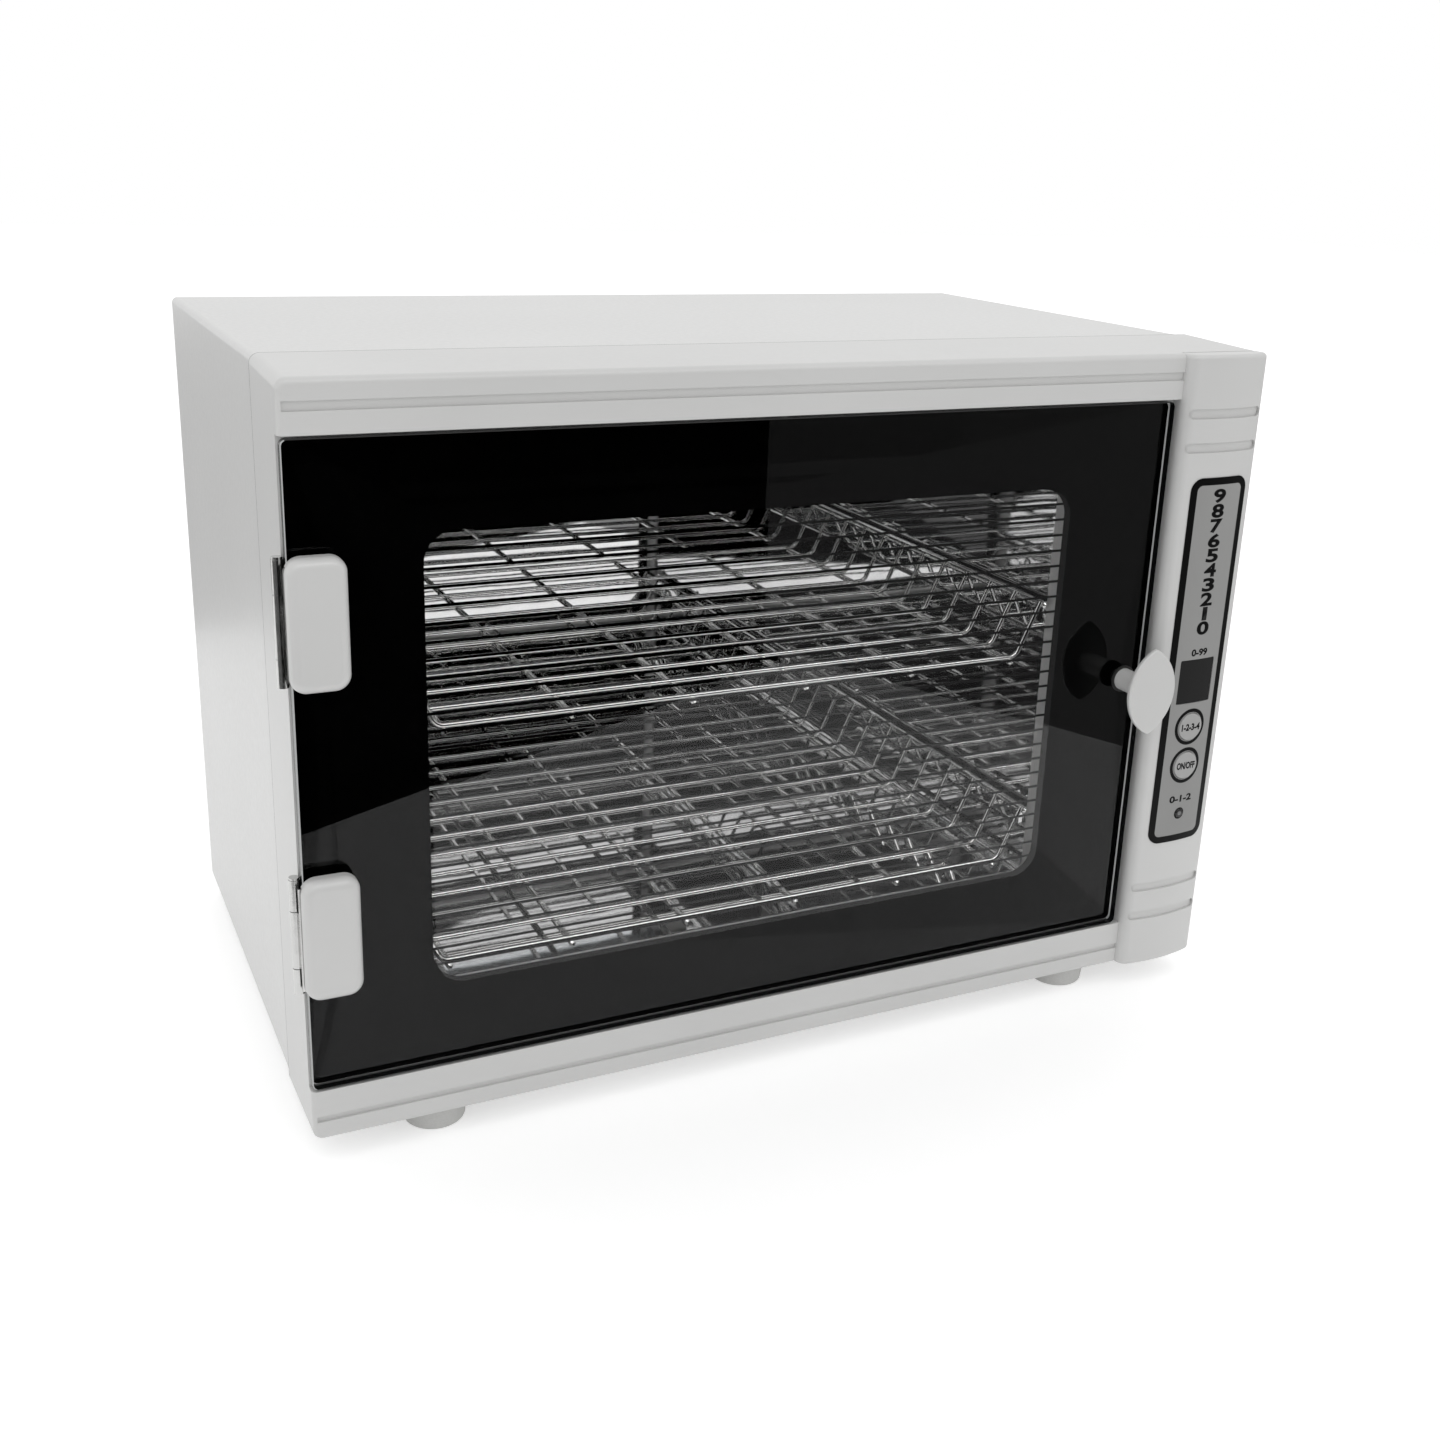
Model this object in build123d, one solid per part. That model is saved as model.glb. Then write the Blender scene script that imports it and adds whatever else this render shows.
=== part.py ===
"""Tool sterilizer cabinet: a painted case with a moulded front frame, a glass door and two baskets.

All lengths are in millimetres. The pieces are drawn from the lower left corner of the frame's
front face: X to the right, Y to the back, Z up. They are written out with the origin at the
bottom centre of the whole object, +Z up and the door facing -Y.
"""
from build123d import *
import math
import os

# Front frame
width = 430.0
face_height = 294.0
frame_depth = 50.0
frame_wall = 2.6
rise_top = 2.0
rise_bottom = 3.0
frame_long_round = 4.0
frame_front_round = 2.6
top_rail = 19.6
bottom_rail = 21.6
recess_depth = 5.3
top_groove_from_top = 9.6
top_groove_height = 3.6
bottom_groove_from_base = 9.3
bottom_groove_height = 2.6
groove_depth = 1.1
groove_end_margin = 1.6

# Painted case
case_depth = 211.0
sheet = 1.0
rim_lip = 1.0
rim_overlap = 6.0
rim_play = 0.1
case_fold_round = 2.5
case_flange = 12.0
flange_end_gap = 2.0
panel_play = 0.2
case_front_play = 0.3
pan_front_play = 0.5

# Glass door
glass_thickness = 4.0
glass_corner = 2.5
glass_chamfer = 0.4
glass_left = 0.5
rail_gap = 0.9
column_gap = 3.0
print_thickness = 0.2
print_margin = 0.6
print_hole_play = 0.3

# Window in the print, and the lines across it
window_left = 49.6
window_right_margin = 50.9
window_top_margin = 36.0
window_bottom_margin = 35.2
window_corner = 12.0
line_count = 25
line_height = 1.1
line_end_overlap = 1.0

# Opening of the frame and the steel chamber behind it
opening_left_margin = 9.6
opening_right_margin = 6.6
opening_low_margin = 7.7
opening_high_margin = 9.5
opening_corner = 4.0
return_depth = 13.4
liner_sheet = 0.8
liner_step = 0.9
chamber_back_gap = 17.3
stand_width = 30.0
stand_margin = 20.0
stand_inset = 25.0
stand_flange = 10.0
seal_width = 5.0
seal_gap_in = 3.0
seal_clear = 0.2

# Control column
column_width = 44.5
column_proud = 5.8
column_left_proud = 4.0
column_right_proud = 2.1
column_left_round = 5.0
column_right_round = 3.2
column_end_round = 2.0
column_seat = 4.0
column_wall = 2.2
bar_width = 41.0
bar_height = 4.4
bar_depth = 1.2
bar_first = 26.0
bar_second = 41.0
bar_top_offset = 0.4
column_screw_inset = 12.0
column_screw_length = 8.5

# Label on the column
label_width = 32.6
label_aside = 0.9
label_top_margin = 54.0
label_bottom_margin = 63.8
label_corner = 6.0
label_thickness = 0.35
display_width = 20.4
display_height = 21.4
display_drop = 7.6
display_corner = 0.8
lens_play = 0.1
lens_flange = 1.0
lens_flange_y = -2.0
lens_flange_thickness = 1.0
lens_corner = 0.6
lens_flange_corner = 1.5
key_radius = 6.6
key_play = 0.3
key_proud = 0.9
key_round = 0.5
key_flange_play = 0.9
key_flange = 1.2
key_flange_thickness = 1.0
key_stem_radius = 2.0
key_travel = 0.6
key_gap = 0.1
select_drop = 30.1
power_drop = 49.4
lamp_drop = 73.9
lamp_radius = 2.3
lamp_proud = 0.8

# Control board
board_y = 6.0
board_thickness = 1.6
board_width = 32.0
board_height = 116.0
board_drop = 37.0
board_edge = 4.0
board_play = 1.5
board_corner = 1.5
board_hole_corner = 2.0
board_screw_length = 6.5
switch_size = 6.2
switch_height = 3.8
switch_tip_radius = 1.75
switch_tip_height = 1.3
module_width = 19.0
module_height = 20.0
module_gap = 0.5
digit_spread = 4.6
digit_width = 6.8
digit_height = 12.0
digit_depth = 0.5
capacitor_radius = 4.0
capacitor_length = 12.0
capacitor_spread = 6.0
capacitor_rise = 38.0
transformer_width = 18.0
transformer_height = 16.0
transformer_depth = 11.0
transformer_drop = 38.0

# Hinges
hinge_spacing = 121.0
barrel_radius = 2.1
pin_radius = 1.1
pin_play = 0.06
pin_head_radius = 1.9
pin_head_height = 0.9
barrel_x = -1.9
barrel_y = 3.2
knuckle_top = 12.4
knuckle_middle = 23.8
knuckle_bottom = 10.4
knuckle_play = 0.3
leaf_thickness = 0.8
frame_leaf_reach = 8.5
frame_leaf_screw_x = 4.4
frame_leaf_screw_z = 16.0
frame_leaf_screw_length = 8.0
door_leaf_thickness = 1.0
door_leg_x = -1.5
door_leaf_reach = 18.6
door_leaf_height = 42.0
door_screw_x = 15.4
door_screw_z = 13.0
gasket_thickness = 0.5
gasket_inset = 0.8
clamp_left = 9.6
clamp_right = 21.2
clamp_thickness = 1.5
clamp_swing = 0.8
cover_left = -0.8
cover_width = 21.6
cover_height = 49.2
cover_depth = 6.5
cover_corner = 6.0
cover_edge_round = 4.0
cover_wall = 1.2
cover_front_wall = 1.8
cover_leaf_play = 0.3
hinge_boss_depth = 6.0
hinge_boss_reach = 3.0
hinge_boss_margin = 3.7

# Knob and catch
knob_from_edge = 12.2
knob_stem_radius = 5.0
knob_reach = 19.0
knob_plate_width = 25.5
knob_plate_height = 40.0
knob_plate_thickness = 2.4
knob_tip_round = 1.6
knob_edge_round = 0.9
knob_stem_sink = 0.5
knob_washer_radius = 6.2
knob_washer_thickness = 0.8
knob_screw_radius = 1.9
knob_screw_depth = 13.0
knob_screw_head = 1.4
glass_hole_play = 1.2
strike_width = 14.0
strike_height = 30.0
strike_thickness = 1.0
strike_corner = 2.0
catch_width = 19.0
catch_height = 40.0
catch_depth = 13.0
catch_gap = 0.3
catch_play = 0.2
catch_ear = 8.0
catch_ear_thickness = 2.0
catch_screw_length = 3.8
blind_skin = 0.6
magnet_width = 12.0
magnet_height = 28.0
magnet_depth = 6.0
magnet_play = 0.05
sensor_width = 12.0
sensor_height = 5.0
sensor_thickness = 2.0
sensor_from_top = 37.0
sensor_play = 1.0
sensor_front_play = 0.8
reed_width = 26.0
reed_height = 6.0
reed_depth = 5.0

# Wire baskets
wire_radius = 1.1
wire_count = 12
basket_back_clearance = 9.7
first_wire_y = 17.0
wire_top = 24.4
wire_bend = 5.0
basket_lean = 11.0
basket_side_clearance = 2.9
rim_radius = 1.75
rim_height = 23.0
floor_rod_radius = 1.4
floor_rod_inset = 3.0
floor_rod_count = 6
rod_overhang = 2.5
rod_end_chamfer = 0.9
weld_sink = 0.4
rim_weld_sink = 0.27
floor_lift = 9.6
basket_spacing = 99.8
ledge_gap = 0.3
ledge_width = 4.4
ledge_drop = 8.0
ledge_start = 24.0

# Lamp
lamp_length = 212.0
lamp_tube_radius = 8.0
lamp_cap_length = 10.0
lamp_cap_lip = 0.25
lamp_below_ceiling = 18.0
lamp_from_back = 93.7
lamp_pin_radius = 1.2
lamp_pin_length = 7.0
lamp_pin_spread = 5.0
holder_thickness = 11.0
holder_width = 20.0
holder_below = 9.0
holder_play = 0.3
holder_round = 3.0
reflector_width = 58.0
reflector_flat = 26.0
reflector_drop = 7.0
reflector_sheet = 0.6
reflector_play = 1.5

# Electrics
ballast_length = 116.0
ballast_width = 48.0
ballast_height = 30.0
ballast_flange = 9.0
ballast_from_back = 49.0
ballast_round = 2.0
ballast_aside = 14.0
inlet_from_right = 46.0
inlet_z = 42.0
inlet_flange_width = 50.0
inlet_flange_height = 24.0
inlet_flange_thickness = 2.5
inlet_flange_round = 3.0
inlet_hole_spacing = 40.0
inlet_play = 0.3
inlet_screw_length = 7.0
cavity_width = 24.6
cavity_height = 16.6
cavity_depth = 15.0
cavity_round = 3.0
inlet_wall = 1.6
blade_width = 2.0
blade_height = 4.0
blade_length = 14.0
blade_pitch = 7.0
blade_offset = 2.0
blade_tail = 6.0
blade_play = 0.02
lead_radius = 1.5
lead_hole_play = 0.3
lead_side = 4.0
lead_rise = 14.0
lead_pitch = 8.0
lead_bend = 10.0
mains_lead_drop = 6.0
mains_lead_run = 14.0
mains_lead_start = 10.0
mains_lead_bend = 5.0
board_lead_side = 12.0
board_lead_inset = 14.0
board_lead_bend = 25.0

# Feet
foot_radius = 13.6
foot_base_radius = 12.4
foot_height = 10.0
foot_round = 1.5
foot_left_inset = 52.0
foot_right_inset = 66.0
foot_front_y = 18.0
foot_back_inset = 25.0
foot_bore = 5.0
foot_bore_depth = 4.5
foot_screw_length = 10.0
foot_boss_height = 14.0
foot_boss_radius = 6.8
foot_boss_bore = 11.0
foot_seat_play = 0.5

# Air slots of the back panel
slot_length = 40.0
slot_height = 3.0
slot_pitch = 8.0
slot_count = 8
slot_low_z = 90.0
slot_from_right = 80.0

# Fasteners
screw_radius = 1.5
screw_head_radius = 3.0
screw_head_height = 2.0
screw_head_round = 0.8
hole_play = 0.06
countersink_radius = 2.6
countersink_depth = 1.1
boss_radius = 3.4
back_screw_inset = 7.0
base_screw_inset = 40.0
case_screw_length = 5.0

# Places worked out from the sizes above
back_y = frame_depth + case_depth
case_left = rim_lip
case_right = width - rim_lip
case_top = face_height + rise_top - rim_lip
case_bottom = -rise_bottom + rim_lip
column_left = width - column_width
glass_right = column_left - column_gap
glass_bottom = bottom_rail + rail_gap
glass_top = face_height - top_rail - rail_gap
door_middle = (glass_bottom + glass_top) / 2
film_back = glass_thickness + print_thickness
window_width = glass_right - window_right_margin - window_left
window_low = glass_bottom + window_bottom_margin
window_height = glass_top - window_top_margin - window_low
window_x = window_left + window_width / 2
window_z = window_low + window_height / 2
opening_left = window_left - opening_left_margin
opening_right = window_left + window_width + opening_right_margin
opening_low = window_low - opening_low_margin
opening_high = window_low + window_height + opening_high_margin
opening_width = opening_right - opening_left
opening_height = opening_high - opening_low
chamber_x = opening_left + opening_width / 2
chamber_z = opening_low + opening_height / 2
liner_left = opening_left - liner_step
liner_right = opening_right + liner_step
liner_low = opening_low - liner_step
liner_high = opening_high + liner_step
liner_front_y = recess_depth + return_depth
liner_back_y = back_y - chamber_back_gap
column_x = column_left + column_width / 2
label_x = column_x + label_aside
label_height = face_height - label_top_margin - label_bottom_margin
label_z = label_bottom_margin + label_height / 2
knob_x = glass_right - knob_from_edge
hinge_levels = (door_middle + hinge_spacing / 2, door_middle - hinge_spacing / 2)
barrel_height = knuckle_top + knuckle_middle + knuckle_bottom
lower_floor = liner_low + floor_lift
upper_floor = lower_floor + basket_spacing
rim_half = opening_width / 2 - basket_side_clearance
lean_slope = basket_lean / wire_top
rim_reach = (wire_radius + rim_radius - rim_weld_sink) * math.hypot(1, lean_slope)
wire_top_half = rim_half - rim_reach + lean_slope * (wire_top - rim_height)
floor_half = wire_top_half - basket_lean
floor_rod_spacing = 2 * (floor_half - floor_rod_inset) / (floor_rod_count - 1)
lamp_z = liner_high - lamp_below_ceiling
lamp_y = liner_back_y - lamp_from_back
wall_back_y = recess_depth + frame_wall
base_z = case_bottom + sheet
board_z = label_z - board_drop
sensor_z = glass_top - sensor_from_top
catch_front = film_back + gasket_thickness + strike_thickness + catch_gap
ballast_left = liner_right + ballast_aside
ballast_front = back_y - ballast_from_back - ballast_length
ballast_top = base_z + sheet + ballast_height
ballast_middle = base_z + sheet + ballast_height / 2
inlet_x = width - inlet_from_right
slot_left_x = width - slot_from_right
inlet_floor = cavity_depth - inlet_flange_thickness + inlet_wall
basket_back_y = liner_back_y - basket_back_clearance
wire_pitch = (basket_back_y - rod_overhang - first_wire_y) / (wire_count - 1)


def block(x0, x1, y0, y1, z0, z1):
    """A box between two corners."""
    return Pos((x0 + x1) / 2, (y0 + y1) / 2, (z0 + z1) / 2) * Box(x1 - x0, y1 - y0, z1 - z0)


def bar_x(x0, x1, y, z, radius):
    """A round bar along X."""
    return Pos((x0 + x1) / 2, y, z) * Rot(0, 90, 0) * Cylinder(radius, x1 - x0)


def bar_y(x, y0, y1, z, radius):
    """A round bar along Y."""
    return Pos(x, (y0 + y1) / 2, z) * Rot(90, 0, 0) * Cylinder(radius, y1 - y0)


def bar_z(x, y, z0, z1, radius):
    """A round bar along Z."""
    return Pos(x, y, (z0 + z1) / 2) * Cylinder(radius, z1 - z0)


def upright_plane(x, y, z):
    """A plane that faces the back, for outlines that are seen from the front."""
    return Plane(origin=(x, y, z), x_dir=(1, 0, 0), z_dir=(0, 1, 0))


def slab(x, z, wide, high, corner, y0, y1):
    """An upright plate with rounded corners, from y0 to y1."""
    return extrude(upright_plane(x, y0, z) * RectangleRounded(wide, high, corner), y1 - y0)


def pill(x, z, wide, high, y0, y1):
    """An upright plate with half-round ends, from y0 to y1."""
    return extrude(upright_plane(x, y0, z) * SlotOverall(wide, high), y1 - y0)


def screw_to_back(x, z, seat_y, length, radius=screw_radius):
    """A pan-head screw driven towards the back, its head in front of seat_y."""
    head = bar_y(x, seat_y - screw_head_height, seat_y, z, screw_head_radius)
    head = fillet(head.edges().group_by(Axis.Y)[0], screw_head_round)
    return head + bar_y(x, seat_y, seat_y + length, z, radius)


def screw_to_front(x, z, seat_y, length, radius=screw_radius):
    """A pan-head screw driven towards the front, its head behind seat_y."""
    head = bar_y(x, seat_y, seat_y + screw_head_height, z, screw_head_radius)
    head = fillet(head.edges().group_by(Axis.Y)[-1], screw_head_round)
    return head + bar_y(x, seat_y - length, seat_y, z, radius)


def screw_up(x, y, seat_z, length, radius=screw_radius):
    """A pan-head screw driven upwards, its head below seat_z."""
    head = bar_z(x, y, seat_z - screw_head_height, seat_z, screw_head_radius)
    head = fillet(head.edges().group_by(Axis.Z)[0], screw_head_round)
    return head + bar_z(x, y, seat_z, seat_z + length, radius)


def sunk_screw(x, z, seat_y, length, radius, head_radius, depth):
    """A flat-head screw driven towards the back, its head flush with seat_y."""
    cone = Pos(x, seat_y + depth / 2, z) * Rot(90, 0, 0) * Cone(radius, head_radius, depth)
    return cone + bar_y(x, seat_y + depth, seat_y + length, z, radius)


def sunk_screw_to_front(x, z, seat_y, length, radius, head_radius, depth):
    """A flat-head screw driven towards the front, its head flush with seat_y."""
    cone = Pos(x, seat_y - depth / 2, z) * Rot(-90, 0, 0) * Cone(radius, head_radius, depth)
    return cone + bar_y(x, seat_y - length, seat_y - depth, z, radius)


def frame_outer():
    """The outer shape of the frame: it widens upwards and downwards to its rear rim."""
    sides = [
        (0, 0),
        (frame_depth, -rise_bottom),
        (frame_depth, face_height + rise_top),
        (0, face_height),
    ]
    outline = Plane.YZ * make_face(Polyline(*sides, close=True))
    solid = extrude(outline, width)
    solid = fillet(solid.edges().filter_by(lambda e: abs(e.tangent_at(0).Y) > 0.9), frame_long_round)
    front = [e for e in solid.edges() if abs(e.center().Y) < 0.01]
    return fillet(front, frame_front_round)


def frame_inner(inset):
    """The hollow of the frame behind its walls."""
    y0 = frame_wall
    slope_low = rise_bottom / frame_depth
    slope_high = rise_top / frame_depth
    y1 = frame_depth + 1
    sides = [
        (y0, inset - slope_low * y0),
        (y1, inset - slope_low * y1),
        (y1, face_height - inset + slope_high * y1),
        (y0, face_height - inset + slope_high * y0),
    ]
    outline = Plane.YZ.offset(inset) * make_face(Polyline(*sides, close=True))
    return extrude(outline, width - 2 * inset)


def column_profile(shift=0.0):
    """The column's section seen from above, with a bowed front, grown all round by shift."""
    left = (column_left, -column_left_proud)
    middle = (column_left + column_width / 2, -column_proud)
    right = (width, -column_right_proud)
    sides = Polyline(right, (width, column_seat), (column_left, column_seat), left)
    face = make_face([ThreePointArc(left, middle, right), *sides.edges()])
    front = face.vertices().sort_by(Axis.Y)[:2].sort_by(Axis.X)
    face = fillet(front[0], column_left_round)
    front = face.vertices().sort_by(Axis.X)[-2:].sort_by(Axis.Y)
    face = fillet(front[0], column_right_round)
    return offset(face, shift) if shift else face


def column_bar(shift=0.0, end_inset=0.0):
    """The column's section drawn out along its height."""
    face = column_profile(shift)
    return Pos(0, 0, end_inset) * extrude(face, face_height - 2 * end_inset)


def label_point(drop):
    """Height of a thing on the label, from how far it lies below the label's centre."""
    return label_z - drop


def hinge_box(level, x0, x1, y0, y1, low, high):
    """A box beside a hinge, with its ends given from the hinge's middle height."""
    return block(x0, x1, y0, y1, level + low, level + high)


def knuckle_span(part):
    """Lowest and highest point of one knuckle, from the hinge's middle height."""
    low = -barrel_height / 2
    first = low + knuckle_bottom
    second = first + knuckle_middle
    spans = {
        "bottom": (low, first),
        "middle": (first + knuckle_play, second - knuckle_play),
        "top": (second, low + barrel_height),
    }
    return spans[part]


def front_frame():
    """Moulded frame: rails, recess for the glass, seat of the column, opening and rim."""
    recess_low = bottom_rail
    recess_high = face_height - top_rail
    seat_back = column_seat + frame_wall
    hollow = frame_inner(frame_wall)
    hollow -= block(0, column_left, 0, wall_back_y, recess_low - frame_wall, recess_high + frame_wall)
    hollow -= block(column_left - frame_wall, width, 0, seat_back, 0, face_height)
    body = frame_outer() - hollow
    body -= block(-1, column_left, -1, recess_depth, recess_low, recess_high)
    body -= block(column_left, width + 1, -1, column_seat, -1, face_height + 1)
    for middle, tall in (
        (face_height - top_groove_from_top, top_groove_height),
        (bottom_groove_from_base, bottom_groove_height),
    ):
        body -= block(groove_end_margin, column_left, -1, groove_depth,
                      middle - tall / 2, middle + tall / 2)
    grown = 2 * frame_wall
    body += slab(chamber_x, chamber_z, opening_width + grown, opening_height + grown,
                 opening_corner + frame_wall, recess_depth, liner_front_y)
    body -= slab(chamber_x, chamber_z, opening_width, opening_height, opening_corner,
                 recess_depth - 1, liner_front_y + 1)
    body -= rim_rabbet()
    body += hinge_bosses()
    body -= hinge_pockets()
    body -= column_openings()
    body -= catch_hole()
    body -= sensor_pocket()
    for x in foot_places_x():
        body += bar_z(x, foot_front_y, base_z, base_z + foot_boss_height, foot_boss_radius)
        body -= bar_z(x, foot_front_y, -rise_bottom - 1, base_z, foot_radius + foot_seat_play)
        body -= bar_z(x, foot_front_y, base_z - 1, base_z + foot_boss_bore, screw_radius + hole_play)
    return body


def rim_rabbet():
    """The space inside the frame's rear rim that takes the front edge of the case."""
    wide = case_right - case_left + 2 * rim_play
    high = case_top - case_bottom + 2 * rim_play
    middle_z = (case_top + case_bottom) / 2
    return slab(width / 2, middle_z, wide, high, case_fold_round,
                frame_depth - rim_overlap, frame_depth + 1)


def hinge_bosses():
    """Blocks behind the recess that the frame's hinge leaves are screwed to."""
    half = barrel_height / 2 + hinge_boss_margin
    return [hinge_box(z, frame_wall, clamp_right + hinge_boss_reach,
                      wall_back_y, wall_back_y + hinge_boss_depth, -half, half) for z in hinge_levels]


def hinge_pockets():
    """Pockets for the clamp plates on the glass, and the holes of the leaf screws."""
    depth = film_back + gasket_thickness + clamp_thickness + clamp_swing
    cuts = []
    for z in hinge_levels:
        reach = door_leaf_height / 2 + clamp_swing
        cuts.append(hinge_box(z, clamp_left - clamp_swing, clamp_right + clamp_swing,
                              recess_depth - 1, depth, -reach, reach))
        for dz in (-frame_leaf_screw_z, frame_leaf_screw_z):
            cuts.append(leaf_screw(z + dz, hole_play))
    return cuts


def column_openings():
    """Opening behind the column for the control board, and the holes of its screws."""
    cut = slab(column_x, board_z, board_width + 2 * board_play, board_height + 2 * board_play,
               board_hole_corner, column_seat - 1, column_seat + frame_wall + 1)
    holes = [bar_y(x, column_seat - 1, column_seat + frame_wall + 1, z, screw_radius + hole_play)
             for x, z in column_screw_places()]
    return [cut, *holes]


def catch_hole():
    """Hole for the magnet catch, with the holes of its two screws."""
    hole = block(knob_x - catch_width / 2 - catch_play, knob_x + catch_width / 2 + catch_play,
                 recess_depth - 1, wall_back_y + 1,
                 door_middle - catch_height / 2 - catch_play, door_middle + catch_height / 2 + catch_play)
    screws = [bar_y(knob_x, recess_depth + blind_skin, wall_back_y + 1, z, screw_radius + hole_play)
              for z in catch_screw_levels()]
    return [hole, *screws]


def sensor_pocket():
    """Shallow pocket in the recess that clears the sensor magnet on the glass."""
    depth = film_back + sensor_thickness + sensor_front_play
    return block(knob_x - sensor_width / 2 - sensor_play, knob_x + sensor_width / 2 + sensor_play,
                 recess_depth - 1, depth,
                 sensor_z - sensor_height / 2 - sensor_play, sensor_z + sensor_height / 2 + sensor_play)


def column_screw_places():
    """Places of the four screws that hold the column, as X and Z."""
    inset = column_screw_inset
    return [(x, z) for x in (column_left + inset, width - inset)
            for z in (inset, face_height - inset)]


def board_screw_places():
    """Places of the four screws that hold the control board, as X and Z."""
    dx = board_width / 2 - board_edge
    dz = board_height / 2 - board_edge
    return [(column_x + i * dx, board_z + j * dz) for i in (-1, 1) for j in (-1, 1)]


def catch_screw_levels():
    """Heights of the two catch screws."""
    reach = catch_height / 2 + catch_ear / 2
    return (door_middle - reach, door_middle + reach)


def foot_places_x():
    """The feet's two X places."""
    return (foot_left_inset, width - foot_right_inset)


def control_column():
    """Convex hollow column with four recessed bars, holes for the controls and screw bosses."""
    outer = column_bar()
    ends = [e for e in outer.edges()
            if abs(e.tangent_at(0).Z) < 0.1 and e.center().Y < column_seat - 0.5]
    outer = fillet(ends, column_end_round)
    hollow = column_bar(-column_wall, column_wall)
    rear = block(column_left + column_wall, width - column_wall, column_seat - column_wall - 1,
                 column_seat + 1, column_wall, face_height - column_wall)
    body = outer - hollow - rear
    core = column_bar(-bar_depth, -1)
    for from_end in (bar_first, bar_second):
        for z in (from_end + bar_top_offset, face_height - from_end + bar_top_offset):
            body -= pill(column_x, z, bar_width, bar_height, -column_proud - 5, 0) - core
    front = -column_proud + column_wall
    for x, z in board_screw_places():
        body += bar_y(x, front, board_y, z, boss_radius) - core_front(core)
        body -= bar_y(x, 0, board_y + 1, z, screw_radius + hole_play)
    blind_end = column_seat + frame_wall - column_screw_length - 0.5
    for x, z in column_screw_places():
        body += bar_y(x, front, column_seat, z, boss_radius)
        body -= bar_y(x, blind_end, column_seat + 1, z, screw_radius + hole_play)
    body -= label_holes()
    return body


def core_front(core):
    """The space in front of the column's wall, which no boss may enter."""
    return block(column_left, width, -20, -column_right_proud, 0, face_height) - core


def label_holes():
    """Holes for the display, the keys and the lamp, shared by the column and its label."""
    y0 = -column_proud - 5
    y1 = 0.0
    holes = [slab(label_x, label_point(display_drop), display_width, display_height,
                  display_corner, y0, y1)]
    for drop in (select_drop, power_drop):
        holes.append(bar_y(label_x, y0, y1, label_point(drop), key_radius + key_play))
    holes.append(bar_y(label_x, y0, y1, label_point(lamp_drop), lamp_radius + hole_play))
    return holes


def label_overlay():
    """Printed plastic label that follows the column's bowed front."""
    skin = column_bar(label_thickness) - column_bar()
    outline = slab(label_x, label_z, label_width, label_height, label_corner, -column_proud - 5, 0)
    return (skin & outline) - label_holes()


def display_lens():
    """Smoked window of the display, bowed like the column, with a flange behind the wall."""
    z = label_point(display_drop)
    seat = lens_flange_y
    pane = slab(label_x, z, display_width - 2 * lens_play, display_height - 2 * lens_play,
                lens_corner, -column_proud - 5, seat) & column_bar()
    return pane + slab(label_x, z, display_width + 2 * lens_flange, display_height + 2 * lens_flange,
                       lens_flange_corner, seat, seat + lens_flange_thickness)


def display_module():
    """Two-digit display on the board, behind its window."""
    z = label_point(display_drop)
    front = lens_flange_y + lens_flange_thickness + module_gap
    body = block(label_x - module_width / 2, label_x + module_width / 2, front, board_y,
                 z - module_height / 2, z + module_height / 2)
    for x in (label_x - digit_spread, label_x + digit_spread):
        body -= block(x - digit_width / 2, x + digit_width / 2, front - 1, front + digit_depth,
                      z - digit_height / 2, z + digit_height / 2)
    return body


def power_lamp():
    """Round-ended light pipe of the power lamp, standing on the board."""
    z = label_point(lamp_drop)
    front = -column_proud - lamp_proud
    pipe = bar_y(label_x, front, board_y, z, lamp_radius)
    return fillet(pipe.edges().sort_by(Axis.Y)[0], lamp_proud)


def control_key(drop):
    """Round key with a flange that keeps it in the column and a stem that meets its switch."""
    z = label_point(drop)
    front = -column_proud - key_proud
    flange = -column_proud + column_wall + key_flange_play
    cap = bar_y(label_x, front, flange, z, key_radius)
    cap = fillet(cap.edges().sort_by(Axis.Y)[0], key_round)
    cap += bar_y(label_x, flange, flange + key_flange_thickness, z, key_radius + key_flange)
    stem_end = board_y - switch_height - switch_tip_height - key_travel - key_gap
    return cap + bar_y(label_x, flange + key_flange_thickness, stem_end, z, key_stem_radius)


def key_switches():
    """Two square switches on the board, one behind each key."""
    half = switch_size / 2
    parts = []
    for drop in (select_drop, power_drop):
        z = label_point(drop)
        front = board_y - switch_height
        body = block(label_x - half, label_x + half, front, board_y, z - half, z + half)
        parts.append(body + bar_y(label_x, front - switch_tip_height, front, z, switch_tip_radius))
    return Compound(children=parts)


def control_board():
    """Circuit board with a few tall components on its back."""
    y1 = board_y + board_thickness
    board = slab(column_x, board_z, board_width, board_height, board_corner, board_y, y1)
    for x, z in board_screw_places():
        board -= bar_y(x, board_y - 1, y1 + 1, z, screw_radius + hole_play)
    for x in (column_x - capacitor_spread, column_x + capacitor_spread):
        board += bar_y(x, y1, y1 + capacitor_length, board_z + capacitor_rise, capacitor_radius)
    middle = board_z - transformer_drop
    return board + block(column_x - transformer_width / 2, column_x + transformer_width / 2,
                         y1, y1 + transformer_depth,
                         middle - transformer_height / 2, middle + transformer_height / 2)


def board_screws():
    """Screws of the control board."""
    seat = board_y + board_thickness
    return Compound(children=[screw_to_front(x, z, seat, board_screw_length)
                              for x, z in board_screw_places()])


def column_screws():
    """Screws that hold the column from inside the frame."""
    seat = column_seat + frame_wall
    return Compound(children=[screw_to_front(x, z, seat, column_screw_length)
                              for x, z in column_screw_places()])


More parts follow.
